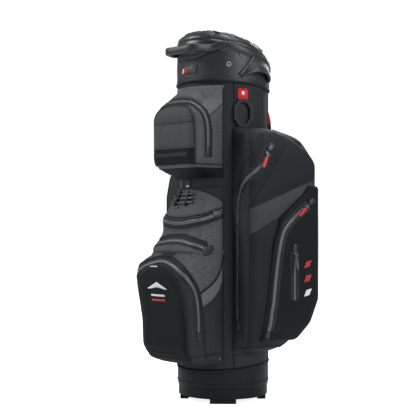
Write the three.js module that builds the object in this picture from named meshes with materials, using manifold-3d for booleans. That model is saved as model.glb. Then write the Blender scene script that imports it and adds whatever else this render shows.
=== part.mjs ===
// A cart-style golf bag that stands on its own moulded base.
// Millimetres, +Z up. The pocket front faces -Y and the large side pocket is on +X.
// The origin is the middle of the base, at floor level.

import * as THREE from 'three';
import { mergeVertices } from 'three/addons/utils/BufferGeometryUtils.js';
import Module from 'manifold-3d';

const wasm = await Module();
wasm.setup();

// ---------------------------------------------------------------- driving dimensions

const gap = 0.4; // clearance between pieces that touch
const roundSegments = 48;

// Body tube and base
const bodyRadius = 109;
const bodyWall = 4;
const cuffProud = 1; // outside the body tube
const cuffBottom = 35;
const cuffTop = 86;
const cuffSlope = 0.08;
const trayFloorTop = 18;
const trayFloorBottom = 11;
const trayRimHeight = 70;
const trayWall = 3;
const footWidth = 62;
const footDepth = 20;
const footAngles = [-45, 45, 135, -135];
const centrePadRadius = 30;

// Collar, rim and top. The rim plane slopes down towards the back.
const bodyHeight = 751; // from the floor to the collar's lower edge
const collarWall = 3;
const collarHeight = 79;
const collarBottomSlope = -0.08;
const rimHeight = bodyHeight + collarHeight; // top of the rim band above the middle of the base
const rimSlope = -0.27;
const rimBand = 20;
const rimProud = 6;
const rimWall = 10;
// The top's outside: how far in from the rim, and how high over it.
const domeProfile = [[2, 0], [3, 6], [7, 14], [15, 22], [30, 30], [62, 38]];
const domeHeight = 40;
const plugDepth = 22;
// Dips in the top's shoulder that open the outer compartments sideways: [angle, radius].
const shoulderDips = [[12, 7], [37, 11], [57, 7], [79, 9], [105, 9], [132, 9], [160, 8]];
const dipInset = 11; // of a dip's middle, in from the rim's outside
const dipHeight = 23; // of a dip's middle, over the rim

// Club compartments: 6 in the middle, 4 on each side
const dividerWall = 3;
const centreHalfWidth = 38;
const rowHalfLength = 32;
const sideRowLength = 46;
const holeMargin = 3.5;
const holeCorner = 8;
const holeCircle = 99;

// Lift handle at the front of the rim
const handleHalfWidth = 58;
const handleReach = 41; // from the collar to the outside of the grip
const handleGrip = 13;
const handleThickness = 18;
const handleDrop = 21; // how far the grip's top lies below the rim plane

// Towel ring
const towelAngle = 70;
const towelTabDrop = 1; // below the lowest edge of the collar
const towelTabHeight = 26;
const towelTabWidth = 26;
const towelTabThickness = 3;
const towelRingWidth = 48;
const towelRingHeight = 64;
const towelRingBar = 7;
const towelRingThickness = 6;
const towelTabTop = bodyHeight + collarBottomSlope * bodyRadius - towelTabDrop;
const towelRingTop = towelTabTop - towelTabHeight - gap;
const towelRingClearance = 1; // from the ring to the side pocket under it

// Pockets. Angles are from the front (-Y) towards +X.
// A pocket's heights are above its own floor, and its brow is from its roof down to its crest.
const pocketLip = 1.5;
const pocketHeadroom = 3; // from the upper pocket's roof to the collar
const stackGap = 2; // between the lower and middle pockets
const frontHalfAngle = 46;
const sideFrontAngle = 57;
const lowerPocket = pocketSize({
  floor: cuffTop + 12, height: 256, panelLow: 41, brow: 54,
  reach: 102, halfWidth: 90, corner: 26, shoulder: 10,
});
const middlePocket = pocketSize({
  floor: lowerPocket.roof + stackGap, height: 151, tierTop: 42, brow: 64,
  reach: 63, halfWidth: 83, corner: 34, shoulder: 0,
});
const upperPocketHeight = 217;
const upperPocket = pocketSize({
  floor: bodyHeight - pocketHeadroom - upperPocketHeight, height: upperPocketHeight,
  panelLow: 30, brow: 48, reach: 60, halfWidth: 74, corner: 24, shoulder: 34,
});
const sidePocketFloor = cuffTop + 32;
const rightPocket = pocketSize({
  floor: sidePocketFloor, height: towelRingTop - towelRingHeight - towelRingClearance - sidePocketFloor,
  brow: 58, backAngle: 130,
  frontReach: 51, frontCorner: -76, backReach: 111, backCorner: 104, corner: 30,
});
const leftPocket = pocketSize({
  floor: sidePocketFloor, height: 454, brow: 84, backAngle: 122,
  frontReach: 37, frontCorner: -64, backReach: 55, backCorner: 66, corner: 24,
});
const outerPocket = { proud: 9, floor: 32, height: 362, front: -0.28, back: 0.8 };

/** Adds to a pocket's sizes its roof, and its crest, where the front starts to slope to the roof. */
function pocketSize(size) {
  return { ...size, roof: size.floor + size.height, crest: size.height - size.brow };
}

// Zips
const zipWidth = 7;
const zipProud = 0.8;
const zipDepth = 1.6;
const sliderLength = 12;
const sliderWidth = 9;
const sliderPlate = 2.4;
const lugGap = 3.6;
const lugWall = 1.8;
const lugHeight = 4.6;
const pullLength = 34;
const pullWidth = 6.5;
const pullThickness = 2.2;
const pullTilt = 14; // degrees that a resting pull stands off its zip

// Side handle and eyelet on the collar. Heights are above the collar's lower edge.
const sideHandleAngle = 88;
const sideHandleSpan = 26; // degrees from its middle to each end
const sideHandleRise = 20;
const sideHandleArch = 16;
const sideHandleBow = 15;
const sideHandleWidth = 24;
const sideHandleThickness = 7;
const eyeletAngle = 52;
const eyeletHeight = 46;
const eyeletRadius = 7;
const eyeletWall = 4;
const eyeletDepth = 2;

// Shoulder strap down the back
const strapDrop = 29; // from the collar's lower edge to the strap's end
const strapLength = 392;
const strapStandOff = 16; // from the body to the line that the strap swings about
const strapBow = 34;
const strapPadWidth = 50;
const strapPadThickness = 10;
const webbingWidth = 32;
const webbingThickness = 4;
const hookHeight = 26;
const hookThickness = 6;
const anchorHeight = 14;
const ringBar = 4;

// ---------------------------------------------------------------- materials

function plastic(color, roughness = 0.45) {
  return new THREE.MeshStandardMaterial({ color, roughness, metalness: 0 });
}

const look = {
  moulded: plastic(0x1b1d1f, 0.4),
  rubber: plastic(0x26292b, 0.55),
  leather: plastic(0x2a2e31, 0.5),
  blackFabric: plastic(0x1e2124, 0.8),
  greyFabric: plastic(0x5a5e60, 0.85),
  zip: plastic(0x77797a, 0.5),
  red: plastic(0xd01f2b, 0.6),
  liner: plastic(0x303335, 0.9),
  steel: new THREE.MeshStandardMaterial({ color: 0xc9cccd, roughness: 0.25, metalness: 1 }),
};

// ---------------------------------------------------------------- geometry helpers

const radians = THREE.MathUtils.degToRad;

/** A point at an angle from the front, at a distance from the bag's axis. */
function around(angle, radius, z = 0) {
  return new THREE.Vector3(radius * Math.sin(radians(angle)), -radius * Math.cos(radians(angle)), z);
}

/** Turns a closed geometry into a solid whose faces point outwards. */
function solid(geometry) {
  const plain = geometry.index ? geometry.clone() : geometry;
  plain.deleteAttribute('normal');
  plain.deleteAttribute('uv');
  const merged = mergeVertices(plain, 1e-4);
  const position = merged.attributes.position;
  const index = Array.from(merged.index.array);
  const [a, b, c] = [new THREE.Vector3(), new THREE.Vector3(), new THREE.Vector3()];
  const kept = [];
  let volume = 0;
  for (let i = 0; i < index.length; i += 3) {
    const [p, q, r] = index.slice(i, i + 3);
    if (p === q || q === r || r === p) continue;
    kept.push(p, q, r);
    a.fromBufferAttribute(position, p);
    b.fromBufferAttribute(position, q);
    c.fromBufferAttribute(position, r);
    volume += a.dot(b.cross(c));
  }
  const triVerts = new Uint32Array(volume < 0 ? kept.reverse() : kept);
  const vertProperties = new Float32Array(position.array);
  return new wasm.Manifold(new wasm.Mesh({ numProp: 3, vertProperties, triVerts }));
}

/** Turns a solid back into a geometry for a mesh. */
function surface(body) {
  const mesh = body.getMesh();
  const geometry = new THREE.BufferGeometry();
  geometry.setAttribute('position', new THREE.BufferAttribute(new Float32Array(mesh.vertProperties), 3));
  geometry.setIndex(new THREE.BufferAttribute(new Uint32Array(mesh.triVerts), 1));
  return geometry;
}

/** A solid turned about the Z axis from a closed [radius, height] profile. */
function turned(profile, segments = roundSegments) {
  const points = profile.map(([r, z]) => new THREE.Vector2(r, z));
  points.push(points[0].clone());
  return solid(new THREE.LatheGeometry(points, segments).rotateX(Math.PI / 2));
}

function ring(outer, inner, bottom, top) {
  return turned([[inner, bottom], [outer, bottom], [outer, top], [inner, top]]);
}

function disc(radius, bottom, top) {
  return solid(new THREE.CylinderGeometry(radius, radius, top - bottom, roundSegments)
    .rotateX(Math.PI / 2).translate(0, 0, (top + bottom) / 2));
}

function box(width, depth, height, x, y, z) {
  return new THREE.BoxGeometry(width, depth, height).translate(x, y, z);
}

/** A plan outline raised from one height to another. */
function slab(shape, bottom, top, curveSegments = 5) {
  const settings = { depth: top - bottom, bevelEnabled: false, curveSegments };
  return solid(new THREE.ExtrudeGeometry(shape, settings).translate(0, 0, bottom));
}

/** Leans a solid so that it rises by the given slope towards +Y. */
function leaned(body, slope) {
  const lean = new THREE.Matrix4().makeShear(0, 0, 0, slope, 0, 0);
  return solid(surface(body).applyMatrix4(lean));
}

/** A closed polygon with rounded corners. */
function roundedShape(corners, radius) {
  const shape = new THREE.Shape();
  corners.forEach((corner, i) => {
    const before = corners[(i + corners.length - 1) % corners.length];
    const after = corners[(i + 1) % corners.length];
    const start = towards(corner, before, radius);
    const end = towards(corner, after, radius);
    if (i === 0) shape.moveTo(start.x, start.y);
    else shape.lineTo(start.x, start.y);
    shape.quadraticCurveTo(corner.x, corner.y, end.x, end.y);
  });
  shape.closePath();
  return shape;
}

function towards(from, to, distance) {
  const length = from.distanceTo(to);
  return from.clone().lerp(to, Math.min(distance / length, 0.45));
}

/** A solid skin over rings of points, closed at both ends. */
function loft(rings) {
  const count = rings[0].length;
  const points = rings.flat();
  const middles = [rings[0], rings[rings.length - 1]].map(middle);
  const vertices = [...points, ...middles].flatMap((p) => [p.x, p.y, p.z]);
  const index = [];
  for (let k = 0; k + 1 < rings.length; k += 1) {
    for (let i = 0; i < count; i += 1) {
      const a = k * count + i;
      const b = k * count + ((i + 1) % count);
      index.push(a, b, b + count, a, b + count, a + count);
    }
  }
  const last = (rings.length - 1) * count;
  for (let i = 0; i < count; i += 1) {
    const next = (i + 1) % count;
    index.push(points.length, next, i);
    index.push(points.length + 1, last + i, last + next);
  }
  const geometry = new THREE.BufferGeometry();
  geometry.setAttribute('position', new THREE.Float32BufferAttribute(vertices, 3));
  geometry.setIndex(index);
  return solid(geometry);
}

function middle(points) {
  const sum = new THREE.Vector3();
  points.forEach((p) => sum.add(p));
  return sum.divideScalar(points.length);
}

/** The value at x of a line through [x, value] knots. */
function between(knots, x) {
  if (x <= knots[0][0]) return knots[0][1];
  for (let i = 1; i < knots.length; i += 1) {
    const [x0, v0] = knots[i - 1];
    const [x1, v1] = knots[i];
    if (x <= x1) return v0 + ((v1 - v0) * (x - x0)) / (x1 - x0);
  }
  return knots[knots.length - 1][1];
}

// ---------------------------------------------------------------- the assembly

const bag = new THREE.Group();
bag.name = 'golf_bag';

/** Adds one named piece to the bag. */
function add(name, body, material) {
  const geometry = body instanceof THREE.BufferGeometry ? body : surface(body);
  const mesh = new THREE.Mesh(geometry, material);
  mesh.name = name;
  bag.add(mesh);
  return mesh;
}

// ---------------------------------------------------------------- base

function addBase() {
  const trayInside = bodyRadius - bodyWall - gap - trayWall;
  let tray = disc(bodyRadius - 1, trayFloorBottom, cuffBottom - gap);
  tray = tray.add(disc(trayInside + trayWall, trayFloorTop, trayRimHeight));
  tray = tray.subtract(disc(trayInside, trayFloorTop, trayRimHeight + gap));
  const inFloor = 1;
  for (const angle of footAngles) {
    const foot = new THREE.BoxGeometry(footWidth, footDepth, trayFloorBottom + inFloor);
    foot.translate(0, -(bodyRadius - 6 - footDepth / 2), (trayFloorBottom + inFloor) / 2);
    foot.rotateZ(radians(angle));
    tray = tray.add(solid(foot).intersect(disc(bodyRadius - 1, 0, cuffBottom)));
  }
  tray = tray.add(disc(centrePadRadius, 0, trayFloorBottom + inFloor));
  add('base_tray', tray, look.moulded);

  const cuffInside = trayInside + trayWall + gap;
  const tall = ring(bodyRadius + cuffProud, cuffInside, cuffBottom, cuffTop * 2);
  const above = leaned(disc(bodyRadius * 2, cuffTop, cuffTop * 3), cuffSlope);
  add('base_cuff', tall.subtract(above), look.leather);
}

function addBodyTube() {
  const inside = bodyRadius - bodyWall;
  const tall = ring(bodyRadius, inside, cuffBottom, rimHeight * 1.2);
  const below = leaned(disc(bodyRadius * 2, 0, cuffTop + gap), cuffSlope);
  const above = leaned(disc(bodyRadius * 2, rimHeight - rimBand - gap, rimHeight * 2), rimSlope);
  add('body_tube', tall.subtract(below).subtract(above), look.blackFabric);
}

// ---------------------------------------------------------------- collar and rim

const collarOuter = bodyRadius + gap + collarWall;

function addCollar() {
  const tall = ring(collarOuter, bodyRadius + gap, cuffTop, rimHeight * 1.2);
  const below = leaned(disc(bodyRadius * 2, 0, bodyHeight), collarBottomSlope);
  const above = leaned(disc(bodyRadius * 2, rimHeight - rimBand - gap, rimHeight * 2), rimSlope);
  add('collar', tall.subtract(below).subtract(above), look.leather);
}

const rimOuter = bodyRadius + rimProud;
const rimInner = rimOuter - rimWall;

function addRimBand() {
  const soft = 2;
  const bottom = rimHeight - rimBand;
  const profile = [
    [rimInner, bottom], [rimOuter - soft, bottom], [rimOuter, bottom + soft],
    [rimOuter, rimHeight - soft], [rimOuter - soft, rimHeight], [rimInner, rimHeight],
  ];
  add('rim_band', leaned(turned(profile), rimSlope), look.rubber);
}

function addLiftHandle() {
  const tip = -(collarOuter + handleReach);
  const root = -bodyRadius * 0.7;
  const outline = (inset) => roundedShape([
    new THREE.Vector2(-handleHalfWidth + inset, root),
    new THREE.Vector2(-handleHalfWidth + inset, tip + inset),
    new THREE.Vector2(handleHalfWidth - inset, tip + inset),
    new THREE.Vector2(handleHalfWidth - inset, root),
  ], 34 - inset);
  const top = rimHeight - rimSlope * rimOuter - handleDrop;
  const bottom = top - handleThickness;
  const grip = slab(outline(0), bottom, top).subtract(slab(outline(handleGrip), bottom - 1, top + 1));
  const rim = disc(rimOuter + gap, cuffTop, rimHeight * 2);
  add('lift_handle', grip.subtract(rim), look.rubber);
}

// ---------------------------------------------------------------- top with 14 openings

/** Corners of the compartments: 2 columns of 3 in the middle, 4 down each side. */
function compartments() {
  const cells = [];
  const half = rowHalfLength;
  const inner = dividerWall / 2;
  for (const side of [-1, 1]) {
    const columns = [side * inner, side * (centreHalfWidth - dividerWall / 2)];
    for (const row of [-1, 0, 1]) {
      const ends = row === 0 ? [-half + inner, half - inner] : [row * (half + inner), row * holeCircle];
      cells.push({ x: columns, y: ends, side });
    }
    for (const row of [-2, -1, 0, 1]) {
      const near = row * sideRowLength + inner;
      const far = (row + 1) * sideRowLength - inner;
      const x = [side * (centreHalfWidth + dividerWall / 2), side * bodyRadius];
      cells.push({ x, y: [near, far], side });
    }
  }
  return cells;
}

function holeShape(cell) {
  const [x0, x1] = [Math.min(...cell.x) + holeMargin, Math.max(...cell.x) - holeMargin];
  const [y0, y1] = [Math.min(...cell.y) + holeMargin, Math.max(...cell.y) - holeMargin];
  const corners = [
    new THREE.Vector2(x0, y0), new THREE.Vector2(x1, y0),
    new THREE.Vector2(x1, y1), new THREE.Vector2(x0, y1),
  ];
  return roundedShape(corners, holeCorner);
}

function addTop() {
  const inside = bodyRadius - bodyWall - gap;
  const plug = Math.min(inside, rimInner - gap);
  const base = rimHeight + gap;
  const profile = [
    [0, base - plugDepth], [plug, base - plugDepth], [plug, base],
    ...domeProfile.map(([inwards, height]) => [rimOuter - inwards, base + height]),
    [0, base + domeHeight],
  ];
  const points = profile.map(([r, z]) => new THREE.Vector2(r, z));
  const dome = solid(new THREE.LatheGeometry(points, roundSegments).rotateX(Math.PI / 2));
  const edge = disc(holeCircle, 0, rimHeight * 2);
  let top = leaned(dome, rimSlope);
  for (const cell of compartments()) {
    const hole = slab(holeShape(cell), rimHeight * 0.5, rimHeight * 1.5, 3);
    top = top.subtract(hole.intersect(edge));
  }
  for (const [angle, radius] of shoulderDips) {
    for (const side of [-1, 1]) {
      const { y } = around(angle, rimOuter - dipInset);
      const dip = new THREE.CylinderGeometry(radius, radius, 4 * dipInset, 20);
      dip.translate(0, -(rimOuter - dipInset), 0).rotateZ(radians(side * angle));
      top = top.subtract(solid(dip.translate(0, 0, base + dipHeight + rimSlope * y)));
    }
  }
  add('organiser_top', top, look.moulded);
}

// ---------------------------------------------------------------- dividers

function addDividers() {
  const inside = bodyRadius - bodyWall - gap;
  const bottom = trayFloorTop + gap;
  const trayInside = inside - trayWall - gap;
  const topAt = (y) => rimHeight - plugDepth - gap * 2 + rimSlope * y;
  const panel = (name, x, y, width, depth) => {
    const top = Math.min(topAt(y - depth / 2), topAt(y + depth / 2));
    add(name, box(width, depth, top - bottom, x, y, (top + bottom) / 2), look.liner);
  };
  const reach = (offset) => Math.sqrt(trayInside ** 2 - (Math.abs(offset) + dividerWall / 2) ** 2) - gap;
  const sideLength = 2 * reach(centreHalfWidth);
  panel('divider_long_left', -centreHalfWidth, 0, dividerWall, sideLength);
  panel('divider_long_right', centreHalfWidth, 0, dividerWall, sideLength);
  const crossWidth = 2 * centreHalfWidth - dividerWall - 2 * gap;
  panel('divider_cross_front', 0, -rowHalfLength, crossWidth, dividerWall);
  panel('divider_cross_back', 0, rowHalfLength, crossWidth, dividerWall);
  const inner = rowHalfLength + dividerWall / 2 + gap;
  const outer = reach(0);
  panel('divider_centre_middle', 0, 0, dividerWall, 2 * (rowHalfLength - dividerWall / 2 - gap));
  panel('divider_centre_front', 0, -(inner + outer) / 2, dividerWall, outer - inner);
  panel('divider_centre_back', 0, (inner + outer) / 2, dividerWall, outer - inner);
  const names = ['front', 'middle', 'back'];
  for (const [label, side] of [['left', -1], ['right', 1]]) {
    for (const row of [-1, 0, 1]) {
      const near = centreHalfWidth + dividerWall / 2 + gap;
      const far = reach(row * sideRowLength);
      const x = (side * (near + far)) / 2;
      panel(`divider_${label}_${names[row + 1]}`, x, row * sideRowLength, far - near, dividerWall);
    }
  }
}

// ---------------------------------------------------------------- pockets

// A pocket's skin is a surface: `across` runs from -1 to 1 over its width, and z is the height.
// `plan` gives the fullest outline, `body` the line on the tube, and `fullness` the share between.

/** The point of a pocket's skin, standing proud of it if the pocket lies on another one. */
function skinPoint(pocket, across, z) {
  if (pocket.host) {
    const outward = skinNormal(pocket.host, across, z);
    return skinPoint(pocket.host, across, z).addScaledVector(outward, pocket.proud);
  }
  const share = pocket.fullness(across, z);
  return new THREE.Vector3().lerpVectors(pocket.body(across), pocket.plan(across), share).setZ(z);
}

/** The outward direction of a pocket's skin. */
function skinNormal(pocket, across, z) {
  const step = 0.01;
  const a = Math.max(across - step, -1);
  const b = Math.min(across + step, 1);
  const alongPlan = skinPoint(pocket, b, z).sub(skinPoint(pocket, a, z));
  const up = skinPoint(pocket, across, z + step).sub(skinPoint(pocket, across, z - step));
  return alongPlan.cross(up).normalize().multiplyScalar(pocket.side);
}

/** A pocket's closed body, cut to lie against the body tube. */
function pocketSolid(pocket) {
  const rings = pocket.heights.map((z) => {
    const points = pocketSteps.map((across) => skinPoint(pocket, across, z));
    const ends = [-1, 1].map((across) => pocket.body(across).multiplyScalar(sinkIntoTube).setZ(z));
    return [ends[0], ...points, ends[1]];
  });
  return loft(rings).subtract(disc(bodyRadius + gap, cuffBottom, rimHeight));
}

const sinkIntoTube = 0.9;
const cornerStart = 0.36; // the face of a pocket lies inside this share of its width
const cornerEnd = 0.6; // its walls lie outside this one
const halfSteps = [1, 0.8, cornerEnd, 0.52, 0.44, cornerStart, 0.18, 0];
const pocketSteps = [...halfSteps.map((s) => -s), ...halfSteps.slice(0, -1).reverse()];

/** Plan outline through two round corners, from the body at one side to the other. */
function planOutline(rootA, cornerA, cornerB, rootB, radius) {
  return (across) => {
    const size = Math.abs(across);
    const [root, near, far] = across < 0 ? [rootA, cornerA, cornerB] : [rootB, cornerB, cornerA];
    const faceEnd = towards(near, far, radius);
    const wallEnd = towards(near, root, radius);
    let point;
    if (size >= cornerEnd) {
      point = wallEnd.lerp(root, (size - cornerEnd) / (1 - cornerEnd));
    } else if (size >= cornerStart) {
      const share = (size - cornerStart) / (cornerEnd - cornerStart);
      point = new THREE.QuadraticBezierCurve(faceEnd, near, wallEnd).getPoint(share);
    } else {
      point = near.clone().add(far).multiplyScalar(0.5).lerp(faceEnd, size / cornerStart);
    }
    return new THREE.Vector3(point.x, point.y, 0);
  };
}

/** Heights given above a pocket's floor, turned into heights above the ground. */
function raised(size, profile) {
  return profile.map(([height, share]) => [size.floor + height, share]);
}

function frontPocket(size, heights) {
  const profile = raised(size, heights);
  const depth = bodyRadius + size.reach;
  const roots = [-1, 1].map((side) => flat(around(side * frontHalfAngle, bodyRadius)));
  const corners = [-1, 1].map((side) => new THREE.Vector2(side * size.halfWidth, -depth));
  const middleHeight = size.floor + size.height / 2;
  return {
    side: 1,
    plan: planOutline(roots[0], corners[0], corners[1], roots[1], size.corner),
    body: (across) => around(across * frontHalfAngle, bodyRadius + pocketLip),
    fullness: (across, z) => {
      const high = THREE.MathUtils.clamp((z - middleHeight) / (size.height / 2), 0, 1);
      const edge = Math.min(Math.abs(across) * 2, 1) ** 4;
      return between(profile, z + Math.min(size.shoulder * edge * high, (size.roof - z) * 0.8));
    },
    heights: profile.map(([z]) => z),
  };
}

function flat(point) {
  return new THREE.Vector2(point.x, point.y);
}

function sidePocket(size, heights, side, clearance = 0) {
  const profile = raised(size, heights);
  const root = (angle) => flat(around(side * angle, bodyRadius));
  const corner = (reach, y) => new THREE.Vector2(side * (bodyRadius + reach + clearance), y);
  const front = corner(size.frontReach, size.frontCorner - clearance);
  const back = corner(size.backReach, size.backCorner + clearance);
  const midAngle = (sideFrontAngle + size.backAngle) / 2;
  const halfAngle = (size.backAngle - sideFrontAngle) / 2;
  return {
    side,
    plan: planOutline(root(sideFrontAngle), front, back, root(size.backAngle), size.corner),
    body: (across) => around(side * (midAngle + across * halfAngle), bodyRadius + pocketLip),
    fullness: (across, z) => between(profile, z),
    heights: profile.map(([z]) => z),
  };
}

const upperSkin = frontPocket(upperPocket, [
  [0, 0], [upperPocket.panelLow - 12, 0.7], [upperPocket.panelLow, 0.95],
  [upperPocket.panelLow + 14, 1], [upperPocket.crest - 24, 1], [upperPocket.crest - 8, 0.95],
  [upperPocket.crest + 6, 0.8], [(upperPocket.crest + upperPocket.height) / 2, 0.48],
  [upperPocket.height - 8, 0.16], [upperPocket.height, 0],
]);

const middleSkin = frontPocket(middlePocket, [
  [0, 0.94], [6, 1], [middlePocket.tierTop - 14, 0.74], [middlePocket.tierTop, 0.62],
  [middlePocket.crest - 8, 0.62], [middlePocket.crest, 0.56],
  [(middlePocket.crest + middlePocket.height) / 2, 0.3], [middlePocket.height, 0],
]);

const lowerSkin = frontPocket(lowerPocket, [
  [0, 0.42], [10, 0.7], [lowerPocket.panelLow, 0.84], [lowerPocket.panelLow + 60, 0.86],
  [lowerPocket.crest, 1], [lowerPocket.crest + 22, 0.93], [lowerPocket.height - 14, 0.8],
  [lowerPocket.height - 4, 0.7], [lowerPocket.height, 0.62],
]);

const rightHeights = [
  [0, 0], [10, 0.3], [42, 0.62], [76, 0.85], [128, 1], [rightPocket.crest, 1],
  [rightPocket.height - 34, 0.88], [rightPocket.height - 14, 0.66], [rightPocket.height - 4, 0.25],
  [rightPocket.height, 0],
];
const rightSkin = sidePocket(rightPocket, rightHeights, 1);

const leftSkin = sidePocket(leftPocket, [
  [0, 0], [12, 0.4], [44, 0.8], [84, 1], [leftPocket.crest, 1], [leftPocket.height - 34, 0.8],
  [leftPocket.height - 12, 0.45], [leftPocket.height, 0],
], -1);

/** The flat pocket's outside lies proud of the right side pocket. */
const outerSkin = { host: rightSkin, proud: outerPocket.proud, side: 1 };

/** The flat pocket on the outside of the right side pocket, cut to lie against it. */
function outerPocketSolid() {
  const inner = outerPocket.front;
  const steps = [inner, inner + 0.08, 0.1, 0.28, cornerStart, 0.44, 0.52, cornerEnd, outerPocket.back];
  const [floor, roof] = [outerPocket.floor, outerPocket.floor + outerPocket.height];
  const heights = [floor, floor + 14, 76, 128, (128 + roof) / 2, roof - 24, roof];
  const edgeShare = 0.35;
  const sunk = 12;
  const rings = raised(rightPocket, heights.map((height) => [height])).map(([z], k) => {
    const at = (across, proud) => (
      skinPoint(rightSkin, across, z).addScaledVector(skinNormal(rightSkin, across, z), proud));
    const outside = steps.map((across, i) => {
      const edge = [0, heights.length - 1].includes(k) || [0, steps.length - 1].includes(i);
      return at(across, outerPocket.proud * (edge ? edgeShare : 1));
    });
    return [...outside, ...steps.map((across) => at(across, -sunk)).reverse()];
  });
  return loft(rings).subtract(pocketSolid(sidePocket(rightPocket, rightHeights, 1, gap)));
}

// ---------------------------------------------------------------- zips and what lies on pockets

/** A strip laid on a skin along [across, z] stops, from `low` under the skin to `high` over it. */
function strip(pocket, stops, width, low, high, lengthen = 0) {
  const points = stops.map(([across, z]) => skinPoint(pocket, across, z));
  const rings = points.map((point, i) => {
    const before = points[Math.max(i - 1, 0)];
    const after = points[Math.min(i + 1, points.length - 1)];
    const along = after.clone().sub(before).normalize();
    const sideways = new THREE.Vector3().crossVectors(skinNormal(pocket, ...stops[i]), along).normalize();
    const out = new THREE.Vector3().crossVectors(along, sideways);
    const push = { 0: -lengthen, [points.length - 1]: lengthen }[i] ?? 0;
    const centre = point.clone().addScaledVector(along, push);
    return [[-1, low], [1, low], [1, high], [-1, high]].map(([s, h]) => (
      centre.clone().addScaledVector(sideways, (s * width) / 2).addScaledVector(out, h)));
  });
  return loft(rings);
}

/** Adds a strip and cuts the shallow groove that it lies in out of its pocket. */
function lay(pocketBody, pocket, name, stops, material, width = zipWidth) {
  const clear = 6;
  const groove = strip(pocket, stops, width + 4 * gap, -zipDepth - gap, zipProud + clear, gap);
  add(name, strip(pocket, stops, width, -zipDepth, zipProud), material);
  return pocketBody.subtract(groove);
}

/** Evenly spaced stops along a line of [across, z] corners. */
function route(corners, spacing) {
  const halfWidth = 160; // about how many millimetres `across` covers from 0 to 1
  const stops = [];
  for (let i = 1; i < corners.length; i += 1) {
    const [from, to] = [corners[i - 1], corners[i]];
    const length = Math.hypot((to[0] - from[0]) * halfWidth, to[1] - from[1]);
    const count = Math.max(1, Math.round(length / spacing));
    for (let k = 0; k < count; k += 1) {
      stops.push([from[0] + ((to[0] - from[0]) * k) / count, from[1] + ((to[1] - from[1]) * k) / count]);
    }
  }
  return [...stops, corners[corners.length - 1]];
}

function sliderBody() {
  const sunk = 0.5;
  const lugLength = 4;
  const plate = solid(box(sliderWidth, sliderLength, sliderPlate, 0, 0, sliderPlate / 2));
  const lugX = (lugGap + lugWall) / 2;
  const height = lugHeight + sunk;
  const lugMiddle = sliderPlate - sunk + height / 2;
  const lugs = [-lugX, lugX].map((x) => solid(box(lugWall, lugLength, height, x, 0, lugMiddle)));
  return plate.add(lugs[0]).add(lugs[1]);
}

function pullBody() {
  const root = (lugGap - 2 * gap) / 2;
  const wide = pullWidth / 2;
  const half = [[root, 1], [root, -6], [wide, -9], [wide, 2 - pullLength], [wide - 2, -pullLength]];
  const outline = [...half, ...half.map(([x, y]) => [-x, y]).reverse()];
  const shape = new THREE.Shape(outline.map(([x, y]) => new THREE.Vector2(x, y)));
  return slab(shape, -pullThickness / 2, pullThickness / 2);
}

/** Adds a zip's slider where it rests, and its pull, which points to the other end or away from it. */
function addSlider(pocket, name, rest, other, material, pullToOther) {
  const start = skinPoint(pocket, ...rest);
  const travel = skinPoint(pocket, ...other).sub(start).normalize();
  const normal = skinNormal(pocket, (rest[0] + other[0]) / 2, (rest[1] + other[1]) / 2);
  const back = travel.clone().multiplyScalar(pullToOther ? -1 : 1);
  const across = new THREE.Vector3().crossVectors(back, normal).normalize();
  const out = new THREE.Vector3().crossVectors(across, back);
  const seat = start.clone().addScaledVector(out, zipProud + gap).addScaledVector(travel, sliderLength / 2);
  const frame = new THREE.Matrix4().makeBasis(across, back, out).setPosition(seat);
  add(`${name}_slider`, surface(sliderBody()).applyMatrix4(frame), look.steel);
  const pivot = sliderPlate + lugHeight - lugWall;
  const pull = surface(pullBody()).rotateX(-radians(pullTilt)).translate(0, 0, pivot);
  add(`${name}_pull`, pull.applyMatrix4(frame), material);
}

function addUpperPocket() {
  const { floor, panelLow, crest } = upperPocket;
  const [low, bend, top] = [floor + panelLow + 16, floor + crest - 30, floor + crest + 9];
  const half = [[0.72, low], [0.72, bend], [0.5, bend + 26], [0.3, top]];
  const corners = [...half.map(([a, z]) => [-a, z]), ...half.reverse()];
  const body = lay(pocketSolid(upperSkin), upperSkin, 'upper_zip', route(corners, 16), look.zip);
  add('upper_pocket', body, look.greyFabric);
  addSlider(upperSkin, 'upper_zip', [-0.72, low + 3], [-0.72, bend - 4], look.blackFabric, false);
}

function addMiddlePocket() {
  const { floor, crest, height } = middlePocket;
  // Each zip's line: how far it rises over its middle at each place across the pocket.
  const zips = [
    { name: 'valuables_zip', z: floor + crest - 19, line: [[-0.86, 22], [-0.3, 0], [0.3, 0], [0.86, 22]] },
    { name: 'tier_zip', z: floor + 28, line: [[-0.86, -19], [-0.62, -19], [-0.3, 0], [0.3, 0], [0.62, -19]] },
  ];
  let body = pocketSolid(middleSkin);
  for (const { name, z, line } of zips) {
    const corners = line.map(([across, rise]) => [across, z + rise]);
    body = lay(body, middleSkin, name, route(corners, 13), look.zip);
  }
  const teeRow = floor + (crest + height) / 2;
  const tees = route([[-0.34, teeRow], [0.34, teeRow]], 16);
  body = lay(body, middleSkin, 'tee_holder', tees, look.blackFabric, 24);
  add('middle_pocket', body, look.greyFabric);
  for (const { name, z, line } of zips) {
    const [rest, other] = [-0.84, -0.64].map((across) => [across, z + between(line, across)]);
    addSlider(middleSkin, name, rest, other, look.blackFabric, false);
  }
}

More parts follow.
